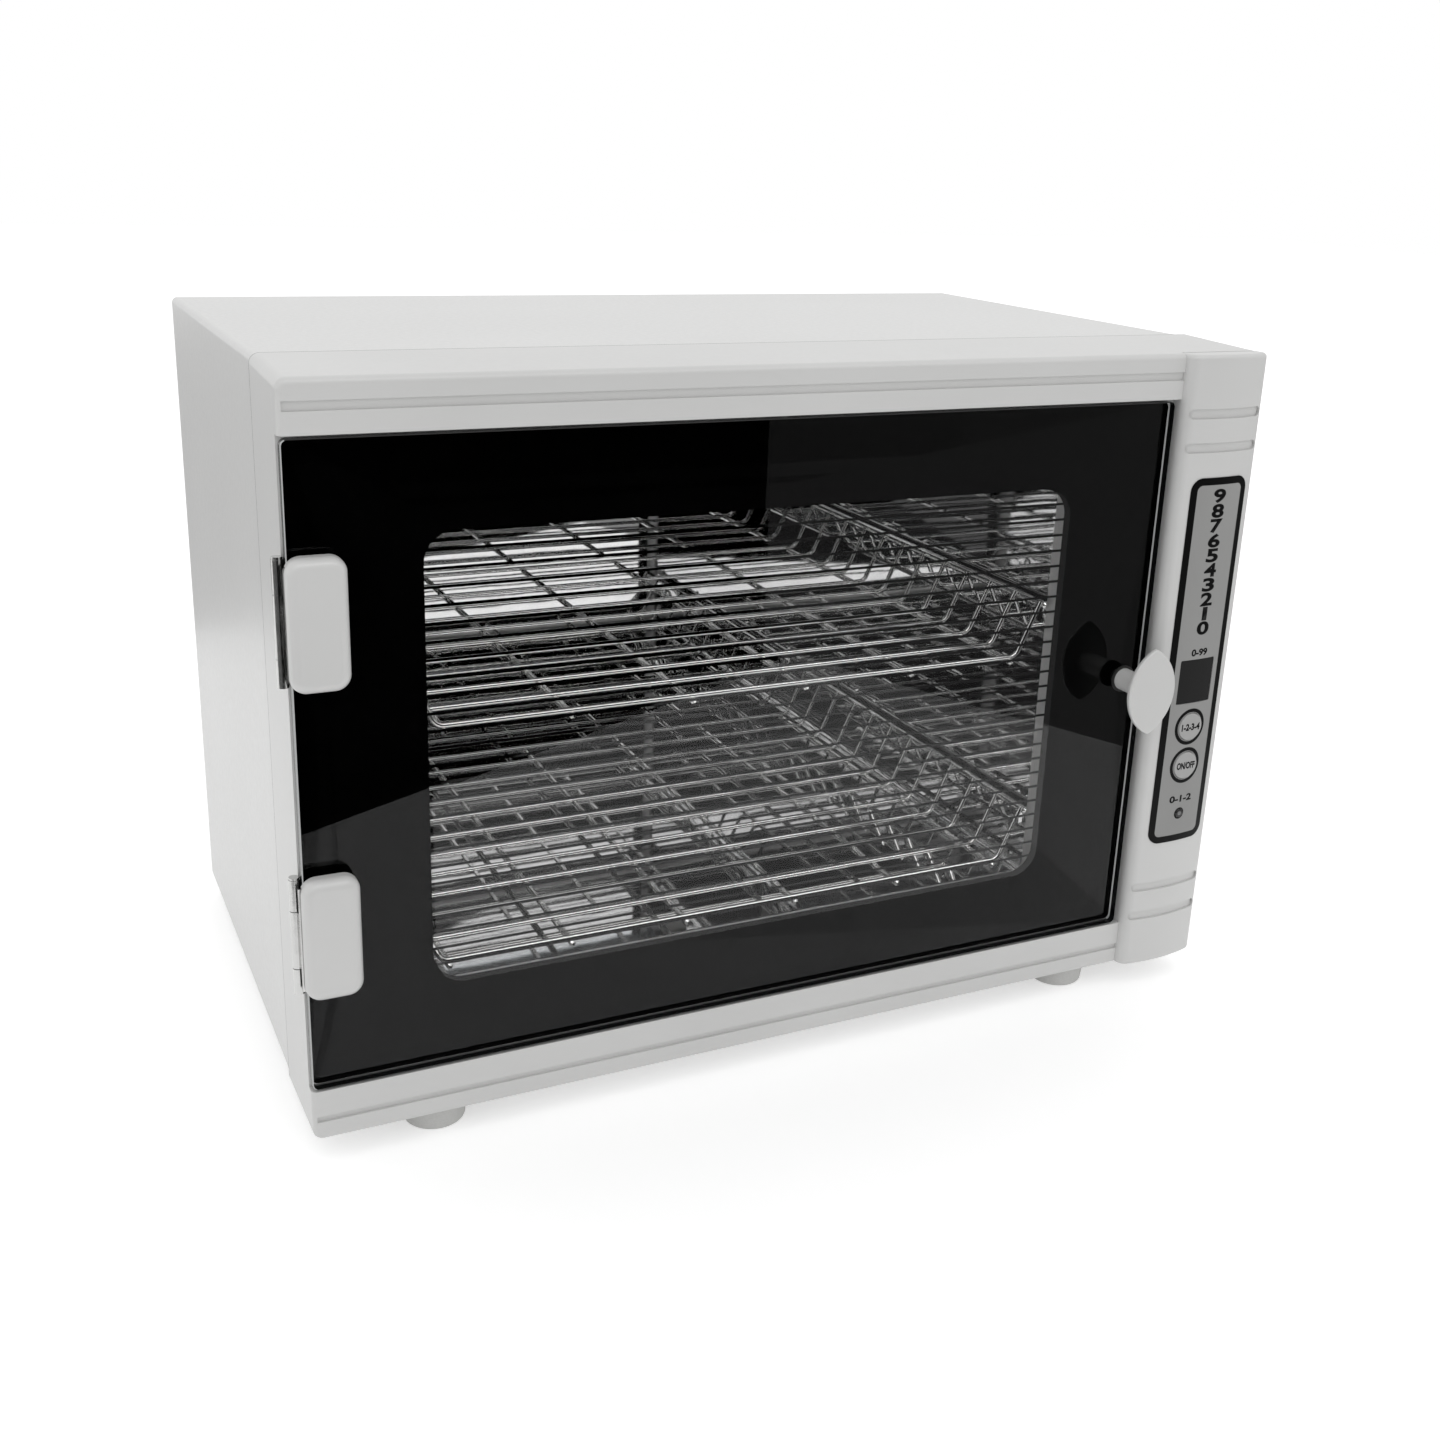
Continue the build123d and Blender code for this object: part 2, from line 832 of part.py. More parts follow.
def door_glass():
    """Toughened glass door with holes for its hinges and knob."""
    wide = glass_right - glass_left
    high = glass_top - glass_bottom
    pane = slab(glass_left + wide / 2, door_middle, wide, high, glass_corner, 0, glass_thickness)
    for hole in glass_holes(0.0, -1, glass_thickness + 1):
        pane -= hole
    faces = pane.faces().sort_by(Axis.Y)
    outline = faces[0].outer_wire().edges() + faces[-1].outer_wire().edges()
    return chamfer(outline, glass_chamfer)


def glass_holes(extra, y0, y1):
    """Holes through the glass for the hinge screws and the knob screw."""
    holes = []
    for level in hinge_levels:
        for dz in (-door_screw_z, door_screw_z):
            holes.append(bar_y(door_screw_x, y0, y1, level + dz, screw_radius + glass_hole_play + extra))
    holes.append(bar_y(knob_x, y0, y1, door_middle, knob_screw_radius + glass_hole_play + extra))
    return holes


def door_print():
    """Black print on the back of the glass: a wide border and fine lines across the window."""
    wide = glass_right - glass_left - 2 * print_margin
    high = glass_top - glass_bottom - 2 * print_margin
    middle = (glass_left + glass_right) / 2
    film = slab(middle, door_middle, wide, high, glass_corner, glass_thickness, film_back)
    film -= slab(window_x, window_z, window_width, window_height, window_corner,
                 glass_thickness - 1, film_back + 1)
    pitch = window_height / (line_count + 1)
    reach = window_width / 2 + line_end_overlap
    lines = [block(window_x - reach, window_x + reach,
                   glass_thickness, film_back,
                   window_z - window_height / 2 + pitch * (i + 1) - line_height / 2,
                   window_z - window_height / 2 + pitch * (i + 1) + line_height / 2)
             for i in range(line_count)]
    film += lines
    for hole in glass_holes(print_hole_play, glass_thickness - 1, film_back + 1):
        film -= hole
    return film


def hinge_cover(level):
    """Hollow plastic cover over a hinge leaf on the glass, open at the left where the leaf leaves."""
    x = cover_left + cover_width / 2
    cover = slab(x, level, cover_width, cover_height, cover_corner, -cover_depth, 0)
    cover = fillet(cover.faces().sort_by(Axis.Y)[0].edges(), cover_edge_round)
    hollow = slab(x, level, cover_width - 2 * cover_wall, cover_height - 2 * cover_wall,
                  cover_corner - cover_wall, -cover_depth + cover_front_wall, 1)
    hollow = fillet(hollow.faces().sort_by(Axis.Y)[0].edges(), cover_edge_round - cover_front_wall)
    half = door_leaf_height / 2 + cover_leaf_play
    front = -gasket_thickness - door_leaf_thickness - cover_leaf_play
    slot = hinge_box(level, cover_left - 1, cover_left + 2 * cover_wall, front, 1, -half, half)
    return cover - hollow - slot


def door_leaf(level):
    """Hinge leaf on the glass, with a bent leg and the middle knuckle."""
    half = door_leaf_height / 2
    front = -gasket_thickness - door_leaf_thickness
    leaf = hinge_box(level, door_leg_x, door_leaf_reach, front, -gasket_thickness, -half, half)
    low, high = knuckle_span("middle")
    leg_end = barrel_y - pin_radius
    leaf += hinge_box(level, door_leg_x, door_leg_x + door_leaf_thickness, front, leg_end, low, high)
    leaf += bar_z(barrel_x, barrel_y, level + low, level + high, barrel_radius)
    leaf -= bar_z(barrel_x, barrel_y, level + low - 1, level + high + 1, pin_radius + pin_play)
    for dz in (-door_screw_z, door_screw_z):
        leaf -= bar_y(door_screw_x, front - 1, 0, level + dz, screw_radius + hole_play)
    return leaf


def frame_leaf(level):
    """Hinge leaf on the frame, with the top and bottom knuckles."""
    half = barrel_height / 2
    y0 = recess_depth - leaf_thickness
    inner = barrel_x + barrel_radius + knuckle_play
    leaf = hinge_box(level, inner, frame_leaf_reach, y0, recess_depth, -half, half)
    for name in ("bottom", "top"):
        low, high = knuckle_span(name)
        leaf += hinge_box(level, barrel_x, inner, y0, recess_depth, low, high)
        leaf += bar_z(barrel_x, barrel_y, level + low, level + high, barrel_radius)
        leaf -= bar_z(barrel_x, barrel_y, level + low - 1, level + high + 1, pin_radius + hole_play)
    for dz in (-frame_leaf_screw_z, frame_leaf_screw_z):
        leaf -= leaf_screw(level + dz, hole_play)
    return leaf


def leaf_screw(z, extra=0.0):
    """Flat-head screw of a frame leaf; extra makes it the hole for that screw."""
    return sunk_screw(frame_leaf_screw_x, z, recess_depth - leaf_thickness,
                      frame_leaf_screw_length + extra, screw_radius + extra,
                      countersink_radius + extra, countersink_depth)


def hinge_pins():
    """The two hinge pins, each with a low head on top."""
    pins = []
    for level in hinge_levels:
        top = level + barrel_height / 2
        pin = bar_z(barrel_x, barrel_y, level - barrel_height / 2, top, pin_radius)
        pins.append(pin + bar_z(barrel_x, barrel_y, top, top + pin_head_height, pin_head_radius))
    return Compound(children=pins)


def frame_leaf_screws():
    """Screws of the frame's hinge leaves."""
    return Compound(children=[leaf_screw(level + dz) for level in hinge_levels
                              for dz in (-frame_leaf_screw_z, frame_leaf_screw_z)])


def clamp_plates():
    """Plates behind the glass that the hinge screws are driven into."""
    y0 = film_back + gasket_thickness
    plates = []
    for level in hinge_levels:
        half = door_leaf_height / 2
        plate = hinge_box(level, clamp_left, clamp_right, y0, y0 + clamp_thickness, -half, half)
        for dz in (-door_screw_z, door_screw_z):
            plate -= bar_y(door_screw_x, y0 - 1, y0 + clamp_thickness + 1, level + dz,
                           screw_radius + hole_play)
        plates.append(plate)
    return Compound(children=plates)


def glass_gaskets():
    """Rubber sheets and washers between the glass and the metal on it."""
    half = door_leaf_height / 2
    parts = []
    for level in hinge_levels:
        front = hinge_box(level, glass_left + gasket_inset, door_leaf_reach, -gasket_thickness, 0,
                          -half, half)
        back = hinge_box(level, clamp_left, clamp_right, film_back, film_back + gasket_thickness,
                         -half, half)
        for dz in (-door_screw_z, door_screw_z):
            hole = bar_y(door_screw_x, -1, film_back + 2, level + dz, screw_radius + hole_play)
            front -= hole
            back -= hole
        parts += [front, back]
    hole = bar_y(knob_x, -2, film_back + 2, door_middle, knob_screw_radius + hole_play)
    parts.append(bar_y(knob_x, -knob_washer_thickness, 0, door_middle, knob_washer_radius) - hole)
    back = bar_y(knob_x, film_back, film_back + gasket_thickness, door_middle, knob_washer_radius)
    parts.append(back - hole)
    return Compound(children=parts)


def door_hinge_screws():
    """Screws that clamp the hinge leaves to the glass."""
    seat = -gasket_thickness - door_leaf_thickness
    length = film_back + gasket_thickness + clamp_thickness - seat
    return Compound(children=[screw_to_back(door_screw_x, level + dz, seat, length)
                              for level in hinge_levels for dz in (-door_screw_z, door_screw_z)])


def knob_plate():
    """Upright plate of the knob: a pointed oval of two equal arcs with rounded tips."""
    arc_radius = (knob_plate_height ** 2 + knob_plate_width ** 2) / (4 * knob_plate_width)
    aside = arc_radius - knob_plate_width / 2
    outline = (Pos(-aside, 0) * Circle(arc_radius)) & (Pos(aside, 0) * Circle(arc_radius))
    outline = fillet(outline.vertices(), knob_tip_round)
    plate = extrude(upright_plane(knob_x, -knob_reach, door_middle) * outline, -knob_plate_thickness)
    flats = plate.faces().filter_by(Axis.Y)
    return fillet(flats[0].edges() + flats[1].edges(), knob_edge_round)


def door_knob():
    """Pull knob: a round stem with its plate."""
    stem = bar_y(knob_x, -knob_reach - knob_stem_sink, -knob_washer_thickness, door_middle, knob_stem_radius)
    hole = bar_y(knob_x, -knob_screw_depth - 0.5, 0, door_middle, knob_screw_radius + hole_play)
    return stem + knob_plate() - hole


def knob_screw():
    """Flat-head screw from behind the strike plate into the knob."""
    seat = film_back + gasket_thickness + strike_thickness
    return sunk_screw_to_front(knob_x, door_middle, seat, seat + knob_screw_depth,
                               knob_screw_radius, knob_screw_radius + knob_screw_head, strike_thickness)


def strike_plate():
    """Steel plate behind the glass that the magnet catch holds."""
    y0 = film_back + gasket_thickness
    plate = slab(knob_x, door_middle, strike_width, strike_height, strike_corner,
                 y0, y0 + strike_thickness)
    return plate - sunk_screw_to_front(knob_x, door_middle, y0 + strike_thickness, 4.0,
                                       knob_screw_radius + hole_play,
                                       knob_screw_radius + knob_screw_head + hole_play, strike_thickness)


def sensor_magnet():
    """Small magnet glued to the back of the glass for the reed switch."""
    return block(knob_x - sensor_width / 2, knob_x + sensor_width / 2,
                 film_back, film_back + sensor_thickness,
                 sensor_z - sensor_height / 2, sensor_z + sensor_height / 2)


def reed_switch():
    """Reed switch on the back of the frame's wall, behind the sensor magnet."""
    return block(knob_x - reed_width / 2, knob_x + reed_width / 2,
                 wall_back_y, wall_back_y + reed_depth,
                 sensor_z - reed_height / 2, sensor_z + reed_height / 2)


def catch_housing():
    """Housing of the magnet catch, with two ears that are screwed behind the frame's wall."""
    body = block(knob_x - catch_width / 2, knob_x + catch_width / 2, catch_front,
                 catch_front + catch_depth, door_middle - catch_height / 2, door_middle + catch_height / 2)
    ears = block(knob_x - catch_width / 2, knob_x + catch_width / 2, wall_back_y,
                 wall_back_y + catch_ear_thickness, door_middle - catch_height / 2 - catch_ear,
                 door_middle + catch_height / 2 + catch_ear)
    body += ears
    for z in catch_screw_levels():
        body -= bar_y(knob_x, wall_back_y - 1, wall_back_y + catch_ear_thickness + 1, z,
                      screw_radius + hole_play)
    return body - magnet_block(magnet_play)


def magnet_block(extra):
    """The catch's magnet; extra makes it the pocket for that magnet."""
    return block(knob_x - magnet_width / 2 - extra, knob_x + magnet_width / 2 + extra,
                 catch_front, catch_front + magnet_depth + extra,
                 door_middle - magnet_height / 2 - extra, door_middle + magnet_height / 2 + extra)


def catch_screws():
    """Screws of the magnet catch."""
    seat = wall_back_y + catch_ear_thickness
    return Compound(children=[screw_to_front(knob_x, z, seat, catch_screw_length)
                              for z in catch_screw_levels()])


def door_seal():
    """Soft ring around the frame's opening that the glass closes against."""
    inner = 2 * seal_gap_in
    outer = inner + 2 * seal_width
    y0 = film_back + seal_clear
    ring = slab(chamber_x, chamber_z, opening_width + outer, opening_height + outer,
                opening_corner + seal_width, y0, recess_depth)
    return ring - slab(chamber_x, chamber_z, opening_width + inner, opening_height + inner,
                       opening_corner + 1, y0 - 1, recess_depth + 1)


def chamber_liner():
    """Polished steel tube that forms the chamber's four walls."""
    wide = liner_right - liner_left
    high = liner_high - liner_low
    tube = slab(chamber_x, chamber_z, wide + 2 * liner_sheet, high + 2 * liner_sheet,
                opening_corner + liner_sheet, liner_front_y, liner_back_y)
    tube -= slab(chamber_x, chamber_z, wide, high, opening_corner, liner_front_y - 1, liner_back_y + 1)
    for x, y in lead_places():
        tube -= bar_z(x, y, liner_high - 1, liner_high + liner_sheet + 1, lead_radius + lead_hole_play)
    return tube


def liner_back():
    """Polished rear wall of the chamber."""
    wide = liner_right - liner_left + 2 * liner_sheet
    high = liner_high - liner_low + 2 * liner_sheet
    return slab(chamber_x, chamber_z, wide, high, opening_corner, liner_back_y, liner_back_y + liner_sheet)


def liner_stands():
    """Two folded stands that carry the chamber on the base pan."""
    x0 = liner_left + stand_inset
    x1 = liner_right - stand_inset
    z0 = base_z + sheet
    z1 = liner_low - liner_sheet
    stands = []
    for y in (frame_depth + stand_margin, liner_back_y - stand_margin - stand_width):
        body = block(x0, x1, y, y + stand_width, z0, z1)
        body += block(x0, x1, y - stand_flange, y + stand_width + stand_flange, z0, z0 + sheet)
        body -= block(x0 - 1, x1 + 1, y + sheet, y + stand_width - sheet, z0 - 1, z1 - sheet)
        stands.append(body)
    return Compound(children=stands)


def basket_ledges():
    """Four angle strips on the chamber's side walls, two for each basket."""
    strips = []
    for floor in (lower_floor, upper_floor):
        top = floor + rim_height - rim_radius - ledge_gap
        for x, inward in ((liner_left, 1), (liner_right, -1)):
            reach = sorted((x, x + inward * ledge_width))
            lean = sorted((x, x + inward * sheet))
            strip = block(*reach, ledge_start, liner_back_y, top - sheet, top)
            strips.append(strip + block(*lean, ledge_start, liner_back_y, top - ledge_drop, top))
    return Compound(children=strips)


def basket_rod(x, z, radius):
    """Straight rod of a basket, from front to back, with chamfered ends."""
    rod = bar_y(x, first_wire_y - rod_overhang, basket_back_y, z, radius)
    return chamfer(rod.edges().filter_by(GeomType.CIRCLE), rod_end_chamfer)


def wire_basket(floor):
    """Welded basket: cross wires with leaning sides, lengthwise floor rods and two rim rods."""
    path = FilletPolyline(
        (-wire_top_half, 0, wire_top),
        (-floor_half, 0, 0),
        (floor_half, 0, 0),
        (wire_top_half, 0, wire_top),
        radius=wire_bend,
    )
    section = Plane(origin=path @ 0, z_dir=path % 0) * Circle(wire_radius)
    wire = sweep(section, path=path)
    rod_z = -wire_radius - floor_rod_radius + weld_sink
    first_rod = -floor_rod_spacing * (floor_rod_count - 1) / 2
    rods = [basket_rod(first_rod + i * floor_rod_spacing, rod_z, floor_rod_radius)
            for i in range(floor_rod_count)]
    rods += [basket_rod(x, rim_height, rim_radius) for x in (-rim_half, rim_half)]
    wires = [Pos(0, first_wire_y + i * wire_pitch, 0) * wire for i in range(wire_count)]
    basket = rods[0].fuse(*rods[1:], *wires)
    return Pos(chamber_x, 0, floor) * basket


def lamp_tube():
    """Glass tube of the ultraviolet lamp."""
    half = lamp_length / 2 - lamp_cap_length
    return bar_x(chamber_x - half, chamber_x + half, lamp_y, lamp_z, lamp_tube_radius)


def lamp_caps():
    """Metal end caps of the lamp with their contact pins."""
    caps = []
    for side in (-1, 1):
        inner = chamber_x + side * (lamp_length / 2 - lamp_cap_length)
        outer = chamber_x + side * lamp_length / 2
        tip = outer + side * lamp_pin_length
        cap = bar_x(*sorted((inner, outer)), lamp_y, lamp_z, lamp_tube_radius + lamp_cap_lip)
        for dy in (-lamp_pin_spread / 2, lamp_pin_spread / 2):
            cap += bar_x(*sorted((outer, tip)), lamp_y + dy, lamp_z, lamp_pin_radius)
        caps.append(cap)
    return Compound(children=caps)


def lamp_holder(side):
    """Socket that hangs from the chamber's ceiling and takes one end of the lamp."""
    face = chamber_x + side * (lamp_length / 2 + holder_play)
    back = face + side * holder_thickness
    x0, x1 = sorted((face, back))
    body = block(x0, x1, lamp_y - holder_width / 2, lamp_y + holder_width / 2,
                 lamp_z - holder_below, liner_high)
    body = fillet(body.edges().filter_by(Axis.X).sort_by(Axis.Z)[:2], holder_round)
    for dy in (-lamp_pin_spread / 2, lamp_pin_spread / 2):
        tip = chamber_x + side * (lamp_length / 2 + lamp_pin_length + holder_play)
        body -= bar_x(*sorted((face - side, tip)), lamp_y + dy, lamp_z, lamp_pin_radius + hole_play)
    return body


def lamp_reflector():
    """Folded bright reflector between the lamp and the ceiling."""
    half = lamp_length / 2 - reflector_play
    flat = reflector_flat / 2
    wing = reflector_width / 2
    low = liner_high - reflector_drop
    t = reflector_sheet
    points = [
        (lamp_y - wing, low),
        (lamp_y - flat, liner_high),
        (lamp_y + flat, liner_high),
        (lamp_y + wing, low),
        (lamp_y + wing - t, low),
        (lamp_y + flat - t / 2, liner_high - t),
        (lamp_y - flat + t / 2, liner_high - t),
        (lamp_y - wing + t, low),
    ]
    face = Plane.YZ.offset(chamber_x - half) * make_face(Polyline(*points, close=True))
    return extrude(face, 2 * half)


def lead_places():
    """Where the lamp leads leave the chamber's ceiling, as X and Y."""
    reach = lamp_length / 2 + holder_play + holder_thickness / 2
    return [(chamber_x - reach, lamp_y - lead_side), (chamber_x + reach, lamp_y + lead_side)]


def lead(points, bend):
    """An insulated lead along straight runs and round bends."""
    path = FilletPolyline(*points, radius=bend)
    section = Plane(origin=path @ 0, z_dir=path % 0) * Circle(lead_radius)
    return sweep(section, path=path)


def lamp_leads():
    """Two leads from the lamp holders over the chamber and down to the ballast."""
    high = liner_high + lead_rise
    leads = []
    for (x, y), drop_x in zip(lead_places(), (ballast_left + lead_pitch, ballast_left + 2 * lead_pitch)):
        leads.append(lead([(x, y, liner_high), (x, y, high), (drop_x, y, high),
                           (drop_x, y, ballast_top)], lead_bend))
    return Compound(children=leads)


def board_leads():
    """The lead from the inlet to the ballast, and the one from the ballast to the board."""
    ballast_end = ballast_front + ballast_length
    start = back_y - inlet_floor
    low = inlet_z - mains_lead_drop
    mains = lead([(inlet_x, start, low), (inlet_x, start - mains_lead_run, low),
                  (inlet_x, ballast_end + mains_lead_start, ballast_middle),
                  (inlet_x, ballast_end, ballast_middle)], mains_lead_bend)
    x = column_x - board_lead_side
    y = ballast_front + board_lead_inset
    back = board_y + board_thickness
    control = lead([(x, y, ballast_top), (x, y, board_z), (x, back, board_z)], board_lead_bend)
    return Compound(children=[mains, control])


def ballast():
    """Lamp ballast in a folded case with a fixing flange at each end."""
    z0 = base_z + sheet
    x1 = ballast_left + ballast_width
    y1 = ballast_front + ballast_length
    body = block(ballast_left, x1, ballast_front, y1, z0, ballast_top)
    body = fillet(body.edges().filter_by(Axis.Y).sort_by(Axis.Z)[-2:], ballast_round)
    for a, b in ((ballast_front - ballast_flange, ballast_front), (y1, y1 + ballast_flange)):
        body += block(ballast_left, x1, a, b, z0, z0 + sheet)
    for y in ballast_screw_places():
        body -= bar_z(ballast_left + ballast_width / 2, y, z0 - 1, z0 + sheet + 1,
                      screw_radius + hole_play)
    return body


def ballast_screw_places():
    """Y places of the two ballast screws."""
    half = ballast_flange / 2
    return (ballast_front - half, ballast_front + ballast_length + half)


def case_section(grow, y0, y1):
    """The case's rounded outline as a solid bar, grown all round by grow."""
    wide = case_right - case_left + 2 * grow
    high = case_top - case_bottom + 2 * grow
    return slab(width / 2, (case_top + case_bottom) / 2, wide, high, case_fold_round + grow, y0, y1)


def case_wrap():
    """Painted sheet folded over the top and sides, with flanges underneath and behind."""
    y0 = frame_depth - rim_overlap + case_front_play
    body = case_section(0, y0, back_y) - case_section(-sheet, y0 - 1, back_y + 1)
    behind = back_y - sheet
    flange = case_section(-sheet / 2, behind - sheet, behind)
    flange -= block(case_left + case_flange, case_right - case_flange, behind - sheet - 1, behind + 1,
                    case_bottom - 1, case_top - case_flange)
    flange -= block(0, width, behind - sheet - 1, behind + 1, case_bottom - 1,
                    base_z + case_flange + flange_end_gap)
    body += flange
    body -= block(case_left + case_flange, case_right - case_flange, y0 - 1, back_y + 1,
                  case_bottom - 1, base_z)
    for screw in base_screw_list(hole_play) + back_screw_list(hole_play):
        body -= screw
    return body


def base_pan():
    """Painted bottom sheet with an upturned rear flange."""
    x0 = case_left + case_fold_round + panel_play
    x1 = case_right - case_fold_round - panel_play
    y0 = frame_depth - rim_overlap + pan_front_play
    behind = back_y - sheet
    pan = block(x0, x1, y0, behind, base_z, base_z + sheet)
    pan += block(x0, x1, behind - sheet, behind, base_z, base_z + case_flange)
    for x in foot_places_x():
        pan -= bar_z(x, back_y - foot_back_inset, base_z - 1, base_z + 2, screw_radius + hole_play)
    for y in ballast_screw_places():
        pan -= bar_z(ballast_left + ballast_width / 2, y, base_z - 1, base_z + 2,
                     screw_radius + hole_play)
    for screw in base_screw_list(hole_play) + back_screw_list(hole_play):
        pan -= screw
    return pan


def back_screw_places():
    """Places of the eight back panel screws, as X and Z."""
    low = base_z + back_screw_inset
    high = case_top - back_screw_inset - sheet
    left = case_left + back_screw_inset
    right = case_right - back_screw_inset
    middle = (low + high) / 2
    corners = [(x, z) for x in (left, right) for z in (middle, high)]
    thirds = [(left + (right - left) * i / 3, low) for i in range(4)]
    return corners + thirds


def back_screw_list(extra=0.0):
    """Back panel screws; extra makes them holes."""
    screws = []
    for x, z in back_screw_places():
        if extra:
            screws.append(bar_y(x, back_y - 4, back_y + 1, z, screw_radius + extra))
        else:
            screws.append(screw_to_front(x, z, back_y, case_screw_length))
    return screws


def base_screw_list(extra=0.0):
    """Screws that hold the case's bottom flanges to the pan; extra makes them holes."""
    screws = []
    for x in (case_left + back_screw_inset, case_right - back_screw_inset):
        for y in (frame_depth + base_screw_inset, back_y - base_screw_inset):
            if extra:
                screws.append(bar_z(x, y, case_bottom - 1, base_z + 3, screw_radius + extra))
            else:
                screws.append(screw_up(x, y, case_bottom, case_screw_length))
    return screws


def case_screws():
    """All screws of the case: back panel, base pan and ballast."""
    x = ballast_left + ballast_width / 2
    ballast_screws = [screw_up(x, y, base_z, case_screw_length) for y in ballast_screw_places()]
    return Compound(children=back_screw_list() + base_screw_list() + ballast_screws)


def back_panel():
    """Painted back panel with air slots and the hole of the mains inlet."""
    gap = sheet + panel_play
    panel = slab(width / 2, (case_top + case_bottom) / 2, case_right - case_left - 2 * gap,
                 case_top - case_bottom - 2 * gap, case_fold_round, back_y - sheet, back_y)
    for i in range(slot_count):
        z = slot_low_z + i * slot_pitch
        panel -= pill(slot_left_x + slot_length / 2, z, slot_length, slot_height, back_y - 3, back_y + 1)
    wide = cavity_width + 2 * (inlet_wall + inlet_play)
    high = cavity_height + 2 * (inlet_wall + inlet_play)
    panel -= block(inlet_x - wide / 2, inlet_x + wide / 2, back_y - 3, back_y + 1,
                   inlet_z - high / 2, inlet_z + high / 2)
    for x in inlet_screw_places():
        panel -= bar_y(x, back_y - 3, back_y + 1, inlet_z, screw_radius + hole_play)
    for screw in back_screw_list(hole_play):
        panel -= screw
    return panel


def inlet_screw_places():
    """X places of the two inlet screws."""
    return (inlet_x - inlet_hole_spacing / 2, inlet_x + inlet_hole_spacing / 2)


def blade_places():
    """Places of the inlet's three blades, as X and Z."""
    return [(inlet_x - blade_pitch, inlet_z - blade_offset), (inlet_x, inlet_z + blade_offset),
            (inlet_x + blade_pitch, inlet_z - blade_offset)]


def power_inlet():
    """Mains inlet: a flange on the back panel and a body around an open cavity."""
    mouth = back_y + inlet_flange_thickness
    floor = mouth - cavity_depth
    body = slab(inlet_x, inlet_z, inlet_flange_width, inlet_flange_height, inlet_flange_round,
                back_y, mouth)
    wide = cavity_width / 2 + inlet_wall
    high = cavity_height / 2 + inlet_wall
    body += block(inlet_x - wide, inlet_x + wide, floor - inlet_wall, back_y,
                  inlet_z - high, inlet_z + high)
    body -= slab(inlet_x, inlet_z, cavity_width, cavity_height, cavity_round, floor, mouth + 1)
    for x, z in blade_places():
        body -= blade(x, z, floor - inlet_wall - 1, floor + 1, blade_play)
    for x in inlet_screw_places():
        body -= bar_y(x, back_y - 1, mouth + 1, inlet_z, screw_radius + hole_play)
    return body


def blade(x, z, y0, y1, extra=0.0):
    """One flat contact of the inlet."""
    wide = blade_width / 2 + extra
    high = blade_height / 2 + extra
    return block(x - wide, x + wide, y0, y1, z - high, z + high)


def inlet_pins():
    """The three contacts of the inlet."""
    floor = back_y + inlet_flange_thickness - cavity_depth
    start = floor - inlet_wall - blade_tail
    return Compound(children=[blade(x, z, start, floor + blade_length) for x, z in blade_places()])


def inlet_screws():
    """Screws of the inlet."""
    seat = back_y + inlet_flange_thickness
    return Compound(children=[screw_to_front(x, inlet_z, seat, inlet_screw_length)
                              for x in inlet_screw_places()])


def foot(x, y):
    """Round rubber foot with a sunk hole for its screw."""
    low = base_z - foot_height
    body = Pos(x, y, base_z - foot_height / 2) * Cone(foot_base_radius, foot_radius, foot_height)
    body = fillet(body.edges().group_by(Axis.Z)[0], foot_round)
    body -= bar_z(x, y, low - 1, low + foot_bore_depth, foot_bore)
    return body - bar_z(x, y, low, base_z + 1, screw_radius + hole_play)


def foot_places():
    """Names and places of the four feet."""
    left, right = foot_places_x()
    rear = back_y - foot_back_inset
    return {
        "foot_front_left": (left, foot_front_y),
        "foot_front_right": (right, foot_front_y),
        "foot_rear_left": (left, rear),
        "foot_rear_right": (right, rear),
    }


def foot_screws():
    """Screws of the four feet."""
    seat = base_z - foot_height + foot_bore_depth
    return Compound(children=[screw_up(x, y, seat, foot_screw_length)
                              for x, y in foot_places().values()])


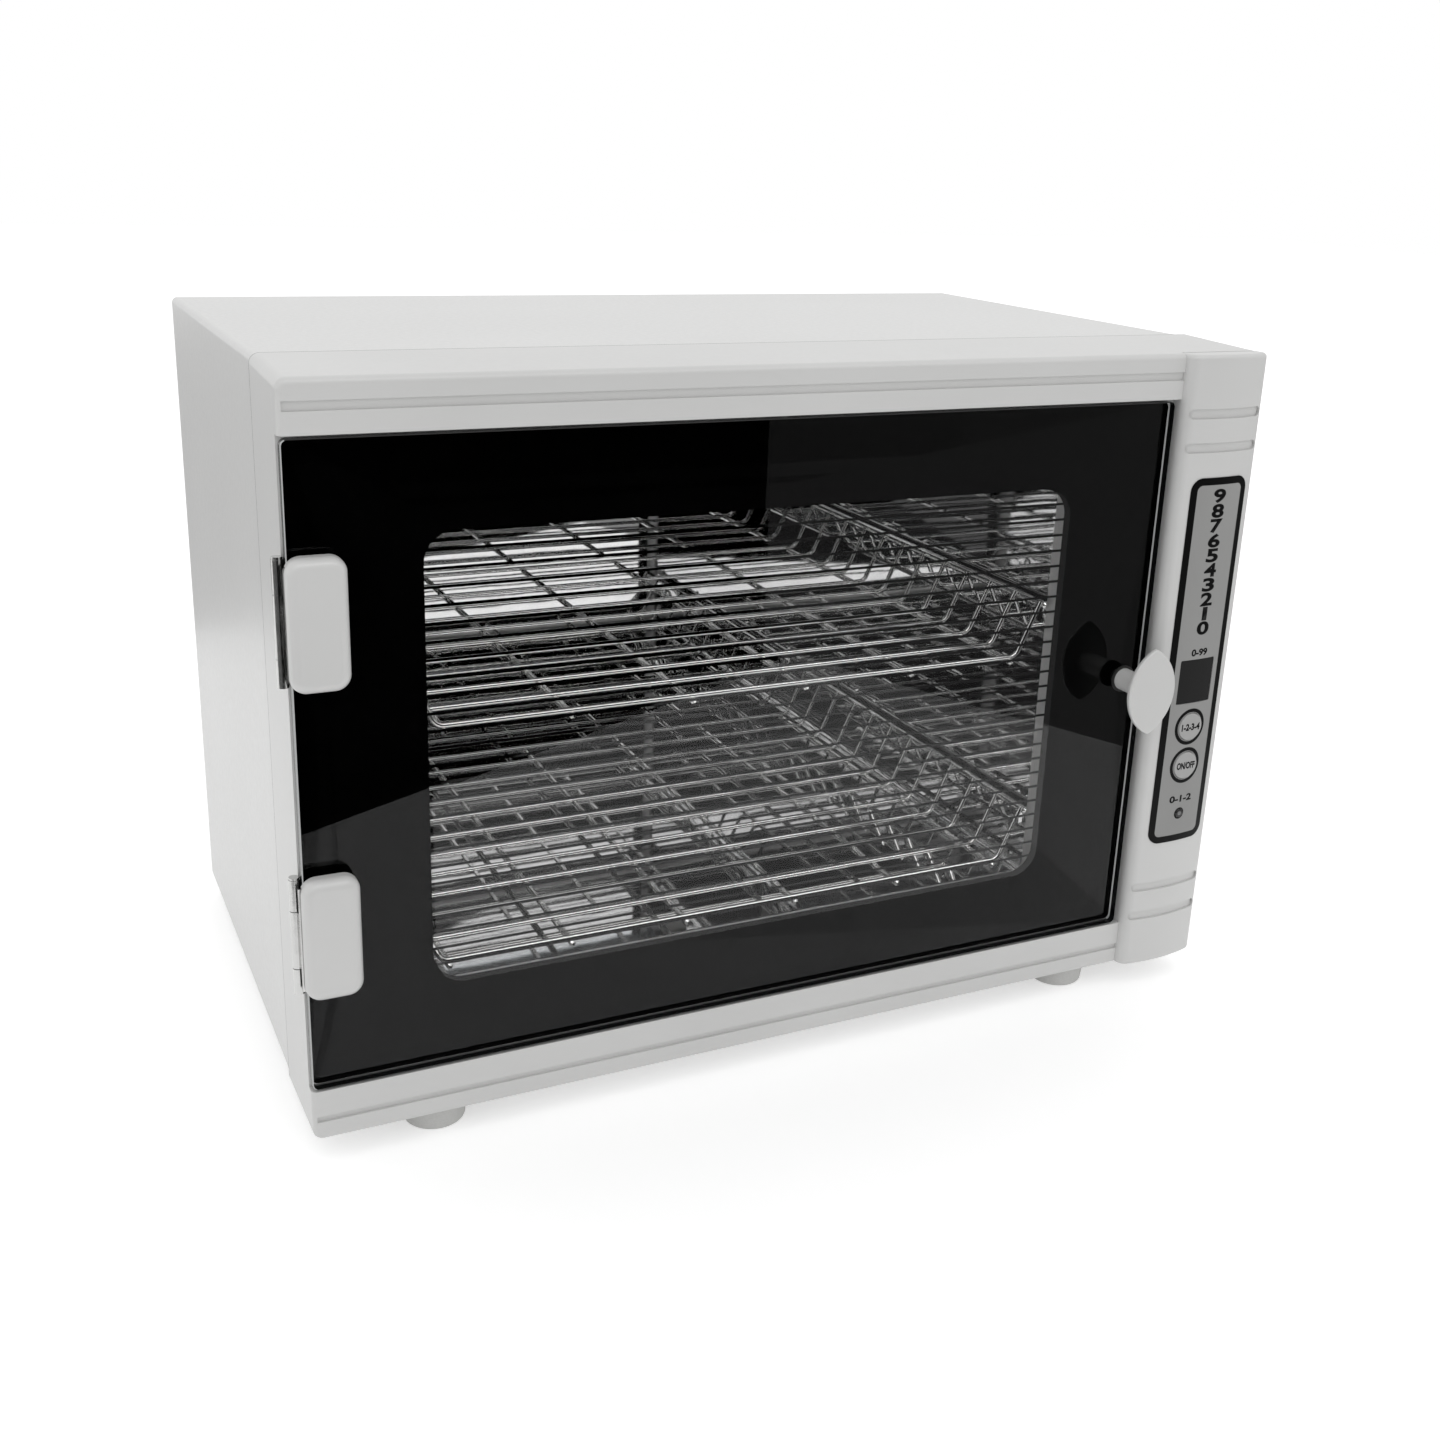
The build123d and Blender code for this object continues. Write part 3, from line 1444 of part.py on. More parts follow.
def all_pieces():
    """Every piece of the cabinet by its name."""
    pieces = {
        "front_frame": front_frame(),
        "control_column": control_column(),
        "label_overlay": label_overlay(),
        "display_lens": display_lens(),
        "display_module": display_module(),
        "power_lamp": power_lamp(),
        "select_key": control_key(select_drop),
        "power_key": control_key(power_drop),
        "key_switches": key_switches(),
        "control_board": control_board(),
        "board_screws": board_screws(),
        "column_screws": column_screws(),
        "door_glass": door_glass(),
        "door_print": door_print(),
        "hinge_cover_upper": hinge_cover(hinge_levels[0]),
        "hinge_cover_lower": hinge_cover(hinge_levels[1]),
        "door_leaf_upper": door_leaf(hinge_levels[0]),
        "door_leaf_lower": door_leaf(hinge_levels[1]),
        "frame_leaf_upper": frame_leaf(hinge_levels[0]),
        "frame_leaf_lower": frame_leaf(hinge_levels[1]),
        "hinge_pins": hinge_pins(),
        "frame_leaf_screws": frame_leaf_screws(),
        "clamp_plates": clamp_plates(),
        "glass_gaskets": glass_gaskets(),
        "door_hinge_screws": door_hinge_screws(),
        "door_knob": door_knob(),
        "knob_screw": knob_screw(),
        "strike_plate": strike_plate(),
        "sensor_magnet": sensor_magnet(),
        "reed_switch": reed_switch(),
        "catch_housing": catch_housing(),
        "catch_magnet": magnet_block(0.0),
        "catch_screws": catch_screws(),
        "door_seal": door_seal(),
        "chamber_liner": chamber_liner(),
        "liner_back": liner_back(),
        "liner_stands": liner_stands(),
        "basket_ledges": basket_ledges(),
        "upper_basket": wire_basket(upper_floor),
        "lower_basket": wire_basket(lower_floor),
        "lamp_tube": lamp_tube(),
        "lamp_caps": lamp_caps(),
        "lamp_holder_left": lamp_holder(-1),
        "lamp_holder_right": lamp_holder(1),
        "lamp_reflector": lamp_reflector(),
        "lamp_leads": lamp_leads(),
        "board_leads": board_leads(),
        "ballast": ballast(),
        "case_wrap": case_wrap(),
        "base_pan": base_pan(),
        "back_panel": back_panel(),
        "case_screws": case_screws(),
        "power_inlet": power_inlet(),
        "inlet_pins": inlet_pins(),
        "inlet_screws": inlet_screws(),
        "foot_screws": foot_screws(),
    }
    for name, (x, y) in foot_places().items():
        pieces[name] = foot(x, y)
    return pieces


def main():
    """Build every piece, move the origin to the bottom centre of the whole and write the files."""
    os.makedirs("parts", exist_ok=True)
    pieces = all_pieces()
    boxes = [piece.bounding_box() for piece in pieces.values()]
    low = [min(getattr(b.min, a) for b in boxes) for a in "XYZ"]
    high = [max(getattr(b.max, a) for b in boxes) for a in "XYZ"]
    shift = (-(low[0] + high[0]) / 2, -(low[1] + high[1]) / 2, -low[2])
    print("shift", [round(v, 3) for v in shift])
    print("size", [round(b - a, 2) for a, b in zip(low, high)])
    for name, piece in pieces.items():
        export_step(Pos(*shift) * piece, f"parts/{name}.step")


main()
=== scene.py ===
"""Tool sterilizer cabinet: finishes, printed figures, screw heads, stage, light and camera.

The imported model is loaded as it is. Its pieces get their finishes here, and small pieces that the
CAD model leaves plain are modelled on it. Everything is in metres: X to the cabinet's right, the
door towards -Y, the floor at Z 0.
"""
import math

import bpy
from bpy.props import FloatProperty, FloatVectorProperty, PointerProperty, StringProperty
from mathutils import Matrix, Vector


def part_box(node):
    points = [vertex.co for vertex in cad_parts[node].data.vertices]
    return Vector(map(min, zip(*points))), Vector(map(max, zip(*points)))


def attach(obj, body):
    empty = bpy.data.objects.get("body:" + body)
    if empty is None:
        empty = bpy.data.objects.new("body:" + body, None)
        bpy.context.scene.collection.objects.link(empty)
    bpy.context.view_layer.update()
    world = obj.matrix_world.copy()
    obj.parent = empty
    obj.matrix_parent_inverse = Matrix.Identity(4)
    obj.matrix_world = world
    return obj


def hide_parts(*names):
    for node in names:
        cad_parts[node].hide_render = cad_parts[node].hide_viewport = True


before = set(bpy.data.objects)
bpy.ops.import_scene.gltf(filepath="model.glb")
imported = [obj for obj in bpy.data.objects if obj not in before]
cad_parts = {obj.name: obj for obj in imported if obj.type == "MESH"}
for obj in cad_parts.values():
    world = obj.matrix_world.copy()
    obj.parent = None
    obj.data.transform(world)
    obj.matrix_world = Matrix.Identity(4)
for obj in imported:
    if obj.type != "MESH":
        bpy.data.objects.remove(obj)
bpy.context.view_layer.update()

bl_info = {
    "name": "Tool sterilizer cabinet",
    "version": (1, 0, 0),
    "blender": (4, 5, 0),
    "location": "3D View > Sidebar > Cabinet",
    "description": "Finishes and small pieces of a tool sterilizer cabinet, with its studio",
    "category": "Object",
}

MM = 0.001
QUARTER_TURN = Matrix.Rotation(math.radians(90), 4, "X")

NOISE_RANGE = {"From Min": 0.3, "From Max": 0.7}  # where most of a noise's values lie
GLASS_INDEX = 1.36                # of the door's glass, low because its mirror image is faint
WINDOW_CORNER = 12 * MM           # corner radius of the clear window in the door's print
PRINT_SIDES = 40 * MM             # less than the width of the print beside the window
PRINT_BANDS = 20 * MM             # less than its height over and under the window
SEAM_DEPTH = 0.5 * MM             # how much of the frame's rear edge gets painted shade for the seam's shadow
# darkness of the painted seam shade, as a part of the frame's colour
SEAM_TONE = 0.2
CORE_EDGE = (0.8 * MM, 1.2 * MM)  # radii between which the small lamp's milky core gives way to its painted rim shade
INK_LIFT = 0.03 * MM
INK_THICKNESS = 0.02 * MM
CUT_PITCH = 0.7 * MM              # distance between the cuts that let figures follow a curve
NARROW = 0.4                      # width of the figure 1, as a part of the others'
WINDOW_RISE = 2.3 * MM            # middle of its figures above the display window
LAMP_RISE = 7.6 * MM              # middle of its figures above the lamp's middle
PRINTED_ON = {                    # the body of what carries figures, and how heavy they are
    "label_overlay": ("cabinet", 0.036),
    "select_key": ("select_key", 0.04),
    "power_key": ("power_key", 0.04),
}
CROSS_ARM = 0.8 * MM              # width of an arm of a screw's cross recess
CROSS_REACH = 1.1 * MM            # how far an arm stands out from the cross's middle
CROSS_DEPTH = 1.2 * MM
HEAD_AREA = 10 * MM * MM          # less than the flat face of a screw's head
LAMP_PLACE = (0.2, -1.6, 1.1)
LAMP_DIRECTION = (0.2, -1.5, 0.95)  # from the cabinet to the soft lamp


class CabinetColours(bpy.types.PropertyGroup):
    """Colours of the finishes, as they look on screen."""

    body_white: StringProperty(name="Body plastic", default="#D0D0CF",
                               description="Moulded plastic of the frame, column and covers")
    case_white: StringProperty(name="Case paint", default="#D2D2D1",
                               description="Powder coat of the sheet case")
    print_black: StringProperty(name="Door print", default="#030303",
                                description="Ink on the back of the glass")
    label_field: StringProperty(name="Label field", default="#979796",
                                description="Printed grey of the control label")
    label_ink: StringProperty(name="Label ink", default="#0B0B0B",
                              description="Printed black of the control label")
    key_grey: StringProperty(name="Keys", default="#A8A8A7",
                             description="Plastic of the two keys")
    lens_smoke: StringProperty(name="Display window", default="#242424",
                               description="Smoked plastic over the display")
    foot_grey: StringProperty(name="Feet", default="#C4C4C2",
                              description="Soft rubber of the feet")


class LabelSizes(bpy.types.PropertyGroup):
    """Sizes of what is printed on the control label."""

    border: FloatProperty(name="Border", default=3.3 * MM, unit="LENGTH",
                          description="Width of the black border")
    corner: FloatProperty(name="Corner", default=6.0 * MM, unit="LENGTH",
                          description="Corner radius of the label")
    ring_radius: FloatProperty(name="Key ring", default=8.1 * MM, unit="LENGTH",
                               description="Middle radius of the ring around a key")
    ring_width: FloatProperty(name="Ring width", default=1.7 * MM, unit="LENGTH",
                              description="Width of the ring around a key")
    lamp_ring: FloatProperty(name="Lamp ring", default=2.9 * MM, unit="LENGTH",
                             description="Outer radius of the black ring around the lamp")
    figure_height: FloatProperty(name="Figure height", default=6.4 * MM, unit="LENGTH",
                                 description="Height of one figure of the scale")
    figure_width: FloatProperty(name="Figure width", default=7.2 * MM, unit="LENGTH",
                                description="Width of one figure of the scale")
    figure_pitch: FloatProperty(name="Figure pitch", default=6.85 * MM, unit="LENGTH",
                                description="Distance between the figures of the scale")
    figure_top: FloatProperty(name="Figure start", default=8.4 * MM, unit="LENGTH",
                              description="Middle of the first figure below the upper edge")
    small_height: FloatProperty(name="Small figures", default=3.5 * MM, unit="LENGTH",
                                description="Height of the small figures")
    window_width: FloatProperty(name="Window figures", default=9.5 * MM, unit="LENGTH",
                                description="Width of the figures over the display window")
    lamp_width: FloatProperty(name="Lamp figures", default=13.5 * MM, unit="LENGTH",
                              description="Width of the figures over the lamp")
    key_width: FloatProperty(name="Key figures", default=10.6 * MM, unit="LENGTH",
                             description="Width of the figures on a key")


class StageSettings(bpy.types.PropertyGroup):
    """Light, floor and camera."""

    zenith: FloatProperty(name="Light from above", default=1.2,
                          description="Brightness of the soft light straight above")
    horizon: FloatProperty(name="Light from the sides", default=0.48,
                           description="Brightness of the soft light at eye level")
    lamp_power: FloatProperty(name="Soft lamp", default=0.8, unit="POWER",
                              description="Power of the large soft lamp")
    floor_lift: FloatProperty(name="Floor brightness", default=0.42,
                              description="What brings the bare floor up to white")
    glint: FloatProperty(name="Glint strip", default=6.0,
                         description="Brightness of the strip that bright metal mirrors")
    floor_bounce: FloatProperty(name="Floor bounce", default=0.2,
                                description="Extra light that the floor throws up")
    camera_place: FloatVectorProperty(name="Camera", default=(-0.31000, -0.67160, 0.38467),
                                      subtype="TRANSLATION", description="Place of the camera")
    camera_turn: FloatVectorProperty(name="Camera turn", subtype="EULER",
                                     default=(math.radians(71.97273), math.radians(-2.12791),
                                              math.radians(-25.84052)),
                                     description="Rotation of the camera")
    camera_lens: FloatProperty(name="Lens", default=40.354,
                               description="Focal length in millimetres on a 36 mm wide frame")
    shift_x: FloatProperty(name="Shift across", default=-0.01645,
                           description="Sideways lens shift")
    shift_y: FloatProperty(name="Shift up", default=-0.0362, description="Upright lens shift")


def linear(hex_colour):
    """A screen colour such as #DFDFDD as linear light."""
    values = [int(hex_colour[i:i + 2], 16) / 255 for i in (1, 3, 5)]
    return [v / 12.92 if v <= 0.04045 else ((v + 0.055) / 1.055) ** 2.4 for v in values] + [1.0]


def shade(colour, factor):
    """The same colour, darker or lighter."""
    return [min(1.0, c * factor) for c in colour[:3]] + [1.0]


def add(tree, kind, values=None, **settings):
    """Add a node with its settings; values maps its inputs to numbers or to other outputs."""
    node = tree.nodes.new(kind)
    for key, value in settings.items():
        setattr(node, key, value)
    for key, value in (values or {}).items():
        if isinstance(value, bpy.types.NodeSocket):
            tree.links.new(value, node.inputs[key])
        else:
            node.inputs[key].default_value = value
    return node


def blank(name):
    """A new material with an empty node tree."""
    mat = bpy.data.materials.new(name)
    mat.use_nodes = True
    mat.node_tree.nodes.clear()
    return mat, mat.node_tree


def finish(name, colour, lumps, tones, rough, grain=None, waves=None, depth=0.0, metallic=0.0,
           shine=0.5):
    """A material with one shader, whose tone, roughness and relief vary with soft noise.

    lumps, grain and waves are noises, each given by the size of its lumps in metres, its detail
    and its roughness. lumps vary the colour between the two factors of tones. grain varies the
    roughness between the two numbers of rough, which is one number without it. waves give a
    relief that is depth high.
    """
    mat, tree = blank(name)
    place = add(tree, "ShaderNodeTexCoord").outputs["Object"]
    clouds = {}
    for noise in (lumps, grain, waves):
        if noise and noise not in clouds:
            size, detail, fineness = noise
            cloud = add(tree, "ShaderNodeTexNoise", {"Vector": place, "Scale": 1 / size,
                                                     "Detail": detail, "Roughness": fineness})
            clouds[noise] = cloud.outputs["Fac"]
    level = add(tree, "ShaderNodeMapRange", {"Value": clouds[lumps], **NOISE_RANGE})
    blend = add(tree, "ShaderNodeMix", {"Factor": level.outputs["Result"],
                                        6: shade(colour, tones[0]),
                                        7: shade(colour, tones[1])}, data_type="RGBA")
    values = {"Base Color": blend.outputs[2], "Roughness": rough, "Metallic": metallic,
              "Specular IOR Level": shine}
    if grain:
        satin = add(tree, "ShaderNodeMapRange", {"Value": clouds[grain], **NOISE_RANGE,
                                                 "To Min": rough[0], "To Max": rough[1]})
        values["Roughness"] = satin.outputs["Result"]
    if waves:
        bump = add(tree, "ShaderNodeBump", {"Height": clouds[waves], "Distance": depth})
        values["Normal"] = bump.outputs["Normal"]
    shader = add(tree, "ShaderNodeBsdfPrincipled", values)
    add(tree, "ShaderNodeOutputMaterial", {"Surface": shader.outputs[0]})
    return mat


def shader_of(mat):
    """The one shader of a finish."""
    return next(n for n in mat.node_tree.nodes if n.type == "BSDF_PRINCIPLED")


def overprint(mat, mask, colour):
    """Lay a colour over a finish where mask is 1."""
    base = shader_of(mat).inputs["Base Color"]
    both = add(mat.node_tree, "ShaderNodeMix",
               {"Factor": mask, 6: base.links[0].from_socket, 7: colour}, data_type="RGBA")
    mat.node_tree.links.new(both.outputs[2], base)


def moulded_plastic(name, colour, roughness=0.36, grain=2.6 * MM, shine=0.5):
    """ABS from a polished mould: satin, faintly uneven in tone, with soft waves in its shine."""
    speck = (grain, 1.0, 0.5)
    return finish(name, colour, (70 * MM, 2.0, 0.5), (0.975, 1.015),
                  (roughness - 0.02, roughness + 0.02), speck, speck, 0.003 * MM, shine=shine)


def painted_seam_shade(mat, colour, rim):
    """Darken a finish behind rim, a place along Y, with painted shade that stands in for the shadow
    in the seam.
    """
    tree = mat.node_tree
    place = add(tree, "ShaderNodeTexCoord").outputs["Object"]
    behind = add(tree, "ShaderNodeSeparateXYZ", {0: place}).outputs["Y"]
    seam_shade = add(tree, "ShaderNodeMath", {0: behind, 1: rim}, operation="GREATER_THAN")
    overprint(mat, seam_shade.outputs[0], shade(colour, SEAM_TONE))
    return mat


def powder_coat(name, colour):
    """Powder coat on steel: fine orange peel of about 2 mm, a little glossier than plastic."""
    peel = (2.2 * MM, 2.0, 0.5)
    return finish(name, colour, (110 * MM, 2.0, 0.5), (0.985, 1.01), (0.28, 0.38), peel, peel,
                  0.02 * MM)


def glass_ink(name, colour):
    """Ceramic ink fired on glass: dense black with the hard clean shine of the glass over it."""
    mat = finish(name, colour, (25 * MM, 2.0, 0.5), (0.8, 1.25), 0.01)
    shader_of(mat).inputs["IOR"].default_value = GLASS_INDEX
    return mat


def bright_steel(name, colour, roughness, wave=9 * MM, wave_depth=0.02 * MM):
    """Polished or plated steel: a mirror with slight waves and a trace of wiping marks."""
    return finish(name, colour, (30 * MM, 2.0, 0.5), (0.95, 1.03),
                  (roughness * 0.7, roughness * 1.4), (5 * MM, 3.0, 0.6), (wave, 1.0, 0.5),
                  wave_depth, metallic=1.0)


def soft_rubber(name, colour):
    """Moulded rubber: matt, with a fine dry grain."""
    dry = (0.8 * MM, 3.0, 0.5)
    return finish(name, colour, dry, (0.93, 1.03), (0.52, 0.68), dry, dry, 0.03 * MM)


def plain_ink(name, colour):
    """Screen ink: flat black with the label's satin face over it."""
    return finish(name, colour, (8 * MM, 2.0, 0.5), (0.85, 1.2), 0.4, shine=0.1)


def middle_of(node):
    """Middle of a CAD node's box."""
    low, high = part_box(node)
    return (low + high) / 2


def distance_from(tree, place, spot):
    """Distance from a point, seen from the front."""
    flat = add(tree, "ShaderNodeVectorMath", {0: place, 1: (1, 0, 1)}, operation="MULTIPLY")
    away = add(tree, "ShaderNodeVectorMath", {0: flat.outputs[0], 1: (spot.x, 0, spot.z)},
               operation="DISTANCE")
    return away.outputs["Value"]


def outside_rounded(tree, place, centre, half, corner):
    """Distance outside a rounded rectangle, seen from the front; it is negative inside."""
    inset = (half.x - corner, 0, half.z - corner)
    off = add(tree, "ShaderNodeVectorMath", {0: place, 1: centre}, operation="SUBTRACT")
    flat = add(tree, "ShaderNodeVectorMath", {0: off.outputs[0], 1: (1, 0, 1)},
               operation="MULTIPLY")
    size = add(tree, "ShaderNodeVectorMath", {0: flat.outputs[0]}, operation="ABSOLUTE")
    past = add(tree, "ShaderNodeVectorMath", {0: size.outputs[0], 1: inset}, operation="SUBTRACT")
    outer = add(tree, "ShaderNodeVectorMath", {0: past.outputs[0], 1: (0, 0, 0)},
                operation="MAXIMUM")
    far = add(tree, "ShaderNodeVectorMath", {0: outer.outputs[0]}, operation="LENGTH")
    sides = add(tree, "ShaderNodeSeparateXYZ", {0: past.outputs[0]})
    value = sides.outputs["X"]
    for operation, other in (("MAXIMUM", sides.outputs["Z"]), ("MINIMUM", 0.0),
                             ("ADD", far.outputs["Value"]), ("SUBTRACT", corner)):
        value = add(tree, "ShaderNodeMath", {0: value, 1: other}, operation=operation).outputs[0]
    return value


def clear_window():
    """Middle, half sizes and corner radius of the opening in the print on the door's glass."""
    low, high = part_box("door_print")
    inner = [v.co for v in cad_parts["door_print"].data.vertices
             if low.x + PRINT_SIDES < v.co.x < high.x - PRINT_SIDES
             and low.z + PRINT_BANDS < v.co.z < high.z - PRINT_BANDS]
    least = Vector((min(c.x for c in inner), 0, min(c.z for c in inner)))
    most = Vector((max(c.x for c in inner), 0, max(c.z for c in inner)))
    return (least + most) / 2, (most - least) / 2, WINDOW_CORNER


def clear_glass(name, tint, index, bare=None):
    """Clear glass: it mirrors a little at its outer faces, where bare, and passes the rest on."""
    mat, tree = blank(name)
    passed = add(tree, "ShaderNodeBsdfTransparent", {"Color": tint})
    mirror = add(tree, "ShaderNodeBsdfGlossy", {"Color": (1, 1, 1, 1), "Roughness": 0.0})
    share = add(tree, "ShaderNodeFresnel", {"IOR": index}).outputs[0]
    inside = add(tree, "ShaderNodeNewGeometry").outputs["Backfacing"]
    outer = add(tree, "ShaderNodeMath", {0: 1.0, 1: inside}, operation="SUBTRACT").outputs[0]
    limits = [outer]
    if bare:
        place = add(tree, "ShaderNodeTexCoord").outputs["Object"]
        edge = outside_rounded(tree, place, *bare)
        clear = add(tree, "ShaderNodeMath", {0: edge, 1: 0.0}, operation="LESS_THAN")
        limits.append(clear.outputs[0])
    for limit in limits:
        share = add(tree, "ShaderNodeMath", {0: share, 1: limit}, operation="MULTIPLY").outputs[0]
    both = add(tree, "ShaderNodeMixShader", {0: share, 1: passed.outputs[0], 2: mirror.outputs[0]})
    add(tree, "ShaderNodeOutputMaterial", {"Surface": both.outputs[0]})
    return mat


def edged(mat, edge_colour, chamfer_colour):
    """Give a pane polished edges painted dark, painted shade for the dark look of a glass edge and
    its gap, and a ground left chamfer, which looks pale.
    """
    tree = mat.node_tree
    output = next(n for n in tree.nodes if n.type == "OUTPUT_MATERIAL")
    pane = output.inputs["Surface"].links[0].from_socket
    normal = add(tree, "ShaderNodeNewGeometry").outputs["True Normal"]
    own = add(tree, "ShaderNodeVectorTransform", {0: normal}, vector_type="NORMAL",
              convert_from="WORLD", convert_to="OBJECT").outputs[0]
    parts = add(tree, "ShaderNodeSeparateXYZ", {0: own})
    facing = add(tree, "ShaderNodeMath", {0: parts.outputs["Y"]}, operation="ABSOLUTE").outputs[0]
    left = add(tree, "ShaderNodeMath", {0: parts.outputs["X"], 1: -0.3}, operation="LESS_THAN")
    chamfer = add(tree, "ShaderNodeMix", {"Factor": left.outputs[0], 6: edge_colour,
                                          7: chamfer_colour}, data_type="RGBA").outputs[2]
    # a face whose normal has less than 0.9 of Y is a chamfer, and one with less than 0.4 an edge
    for colour, limit, roughness in ((chamfer, 0.9, 0.5), (edge_colour, 0.4, 0.2)):
        side = add(tree, "ShaderNodeMath", {0: facing, 1: limit}, operation="LESS_THAN")
        solid = add(tree, "ShaderNodeBsdfPrincipled",
                    {"Base Color": colour, "Roughness": roughness})
        pane = add(tree, "ShaderNodeMixShader", {0: side.outputs[0], 1: pane,
                                                 2: solid.outputs[0]}).outputs[0]
    tree.links.new(pane, output.inputs["Surface"])
    return mat


def printed_label(colours, sizes):
    """Polycarbonate label printed from behind: grey field, black border and rings, satin face."""
    fine = (1.2 * MM, 2.0, 0.5)
    mat = finish("printed_polycarbonate", linear(colours.label_field), (60 * MM, 2.0, 0.5),
                 (0.94, 1.04), (0.3, 0.4), fine, fine, 0.004 * MM, shine=0.1)
    tree = mat.node_tree
    place = add(tree, "ShaderNodeTexCoord").outputs["Object"]
    low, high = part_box("label_overlay")
    edge = outside_rounded(tree, place, (low + high) / 2, (high - low) / 2, sizes.corner)
    inked = [add(tree, "ShaderNodeMath", {0: edge, 1: -sizes.border}, operation="GREATER_THAN")]
    for node in ("select_key", "power_key"):
        away = distance_from(tree, place, middle_of(node))
        inked.append(add(tree, "ShaderNodeMath", {0: away, 1: sizes.ring_radius,
                                                  2: sizes.ring_width / 2}, operation="COMPARE"))
    away = distance_from(tree, place, middle_of("power_lamp"))
    inked.append(add(tree, "ShaderNodeMath", {0: away, 1: sizes.lamp_ring}, operation="LESS_THAN"))
    ink = inked[0].outputs[0]
    for other in inked[1:]:
        ink = add(tree, "ShaderNodeMath", {0: ink, 1: other.outputs[0]},
                  operation="MAXIMUM").outputs[0]
    overprint(mat, ink, linear(colours.label_ink))
    return mat


def light_pipe(name, milky, dark):
    """Light pipe that is off: milky over the light, with painted shade at its rim that stands in
    for how the rim bends the view aside.
    """
    mat, tree = blank(name)
    place = add(tree, "ShaderNodeTexCoord").outputs["Object"]
    away = distance_from(tree, place, middle_of("power_lamp"))
    rim = add(tree, "ShaderNodeMapRange", {"Value": away, "From Min": CORE_EDGE[0],
                                           "From Max": CORE_EDGE[1]})
    blend = add(tree, "ShaderNodeMix", {"Factor": rim.outputs["Result"], 6: milky, 7: dark},
                data_type="RGBA")
    shader = add(tree, "ShaderNodeBsdfPrincipled", {"Base Color": blend.outputs[2],
                                                    "Roughness": 0.2})
    add(tree, "ShaderNodeOutputMaterial", {"Surface": shader.outputs[0]})
    return mat


def dress(names, mat):
    """Put a material on CAD nodes."""
    for name in names:
        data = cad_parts[name].data
        data.materials.clear()
        data.materials.append(mat)


def only(piece):
    """Make one object the active and only selected one."""
    bpy.ops.object.select_all(action="DESELECT")
    piece.select_set(True)
    bpy.context.view_layer.objects.active = piece


def printed_text(name, text, height, wide, spot, target, weight):
    """Figures as a thin skin of ink that follows the surface they are printed on."""
    bpy.ops.object.select_all(action="DESELECT")
    bpy.ops.object.text_add(location=(0, 0, 0))
    piece = bpy.context.object
    piece.name = name
    piece.data.body = text
    piece.data.align_x = "CENTER"
    piece.data.offset = weight
    piece.data.resolution_u = 6
    bpy.ops.object.convert(target="MESH")
    piece = bpy.context.object
    corners = [v.co for v in piece.data.vertices]
    low = Vector((min(c.x for c in corners), min(c.y for c in corners), 0))
    high = Vector((max(c.x for c in corners), max(c.y for c in corners), 0))
    size = height / (high.y - low.y)
    sizes = Matrix.Diagonal((wide / (high.x - low.x), size, size, 1))
    centred = Matrix.Translation(-(low + high) / 2)
    piece.data.transform(Matrix.Translation(spot) @ QUARTER_TURN @ sizes @ centred)
    piece.data.update()
    only(piece)
    bpy.ops.object.mode_set(mode="EDIT")
    left = spot.x - wide / 2
    for i in range(1, int(wide / CUT_PITCH) + 1):
        bpy.ops.mesh.select_all(action="SELECT")
        bpy.ops.mesh.bisect(plane_co=(left + i * CUT_PITCH, 0, 0), plane_no=(1, 0, 0))
    bpy.ops.mesh.select_all(action="SELECT")
    bpy.ops.mesh.remove_doubles(threshold=0.001 * MM)
    bpy.ops.object.mode_set(mode="OBJECT")
    wrap = piece.modifiers.new("lay", "SHRINKWRAP")
    wrap.wrap_method = "PROJECT"
    wrap.use_project_y = True
    wrap.use_negative_direction = True
    wrap.use_positive_direction = True
    wrap.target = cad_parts[target]
    wrap.offset = INK_LIFT
    bpy.ops.object.modifier_apply(modifier=wrap.name)
    skin = piece.modifiers.new("skin", "SOLIDIFY")
    skin.thickness = INK_THICKNESS
    skin.offset = 0
    bpy.ops.object.modifier_apply(modifier=skin.name)
    return piece


def driver_cross():
    """A cross of four arms, which is what a driver's recess takes out of a screw's head."""
    bpy.ops.object.select_all(action="DESELECT")
    bpy.ops.mesh.primitive_cube_add(size=1, location=(0, 0, 0))
    cross = bpy.context.object
    cross.scale = (CROSS_ARM, CROSS_ARM, 2 * CROSS_DEPTH)
    bpy.ops.object.transform_apply(scale=True)
    bpy.ops.object.mode_set(mode="EDIT")
    bpy.ops.mesh.select_mode(type="FACE")
    bpy.ops.mesh.select_all(action="DESELECT")
    bpy.ops.object.mode_set(mode="OBJECT")
    for face in cross.data.polygons:
        face.select = abs(face.normal.z) < 0.5
    bpy.ops.object.mode_set(mode="EDIT")
    bpy.ops.mesh.extrude_faces_move(TRANSFORM_OT_shrink_fatten={"value": CROSS_REACH})
    bpy.ops.object.mode_set(mode="OBJECT")
    return cross


def own_copy(name, data):
    """A new object with a mesh of its own."""
    twin = bpy.data.objects.new(name, data.copy())
    bpy.context.collection.objects.link(twin)
    return twin


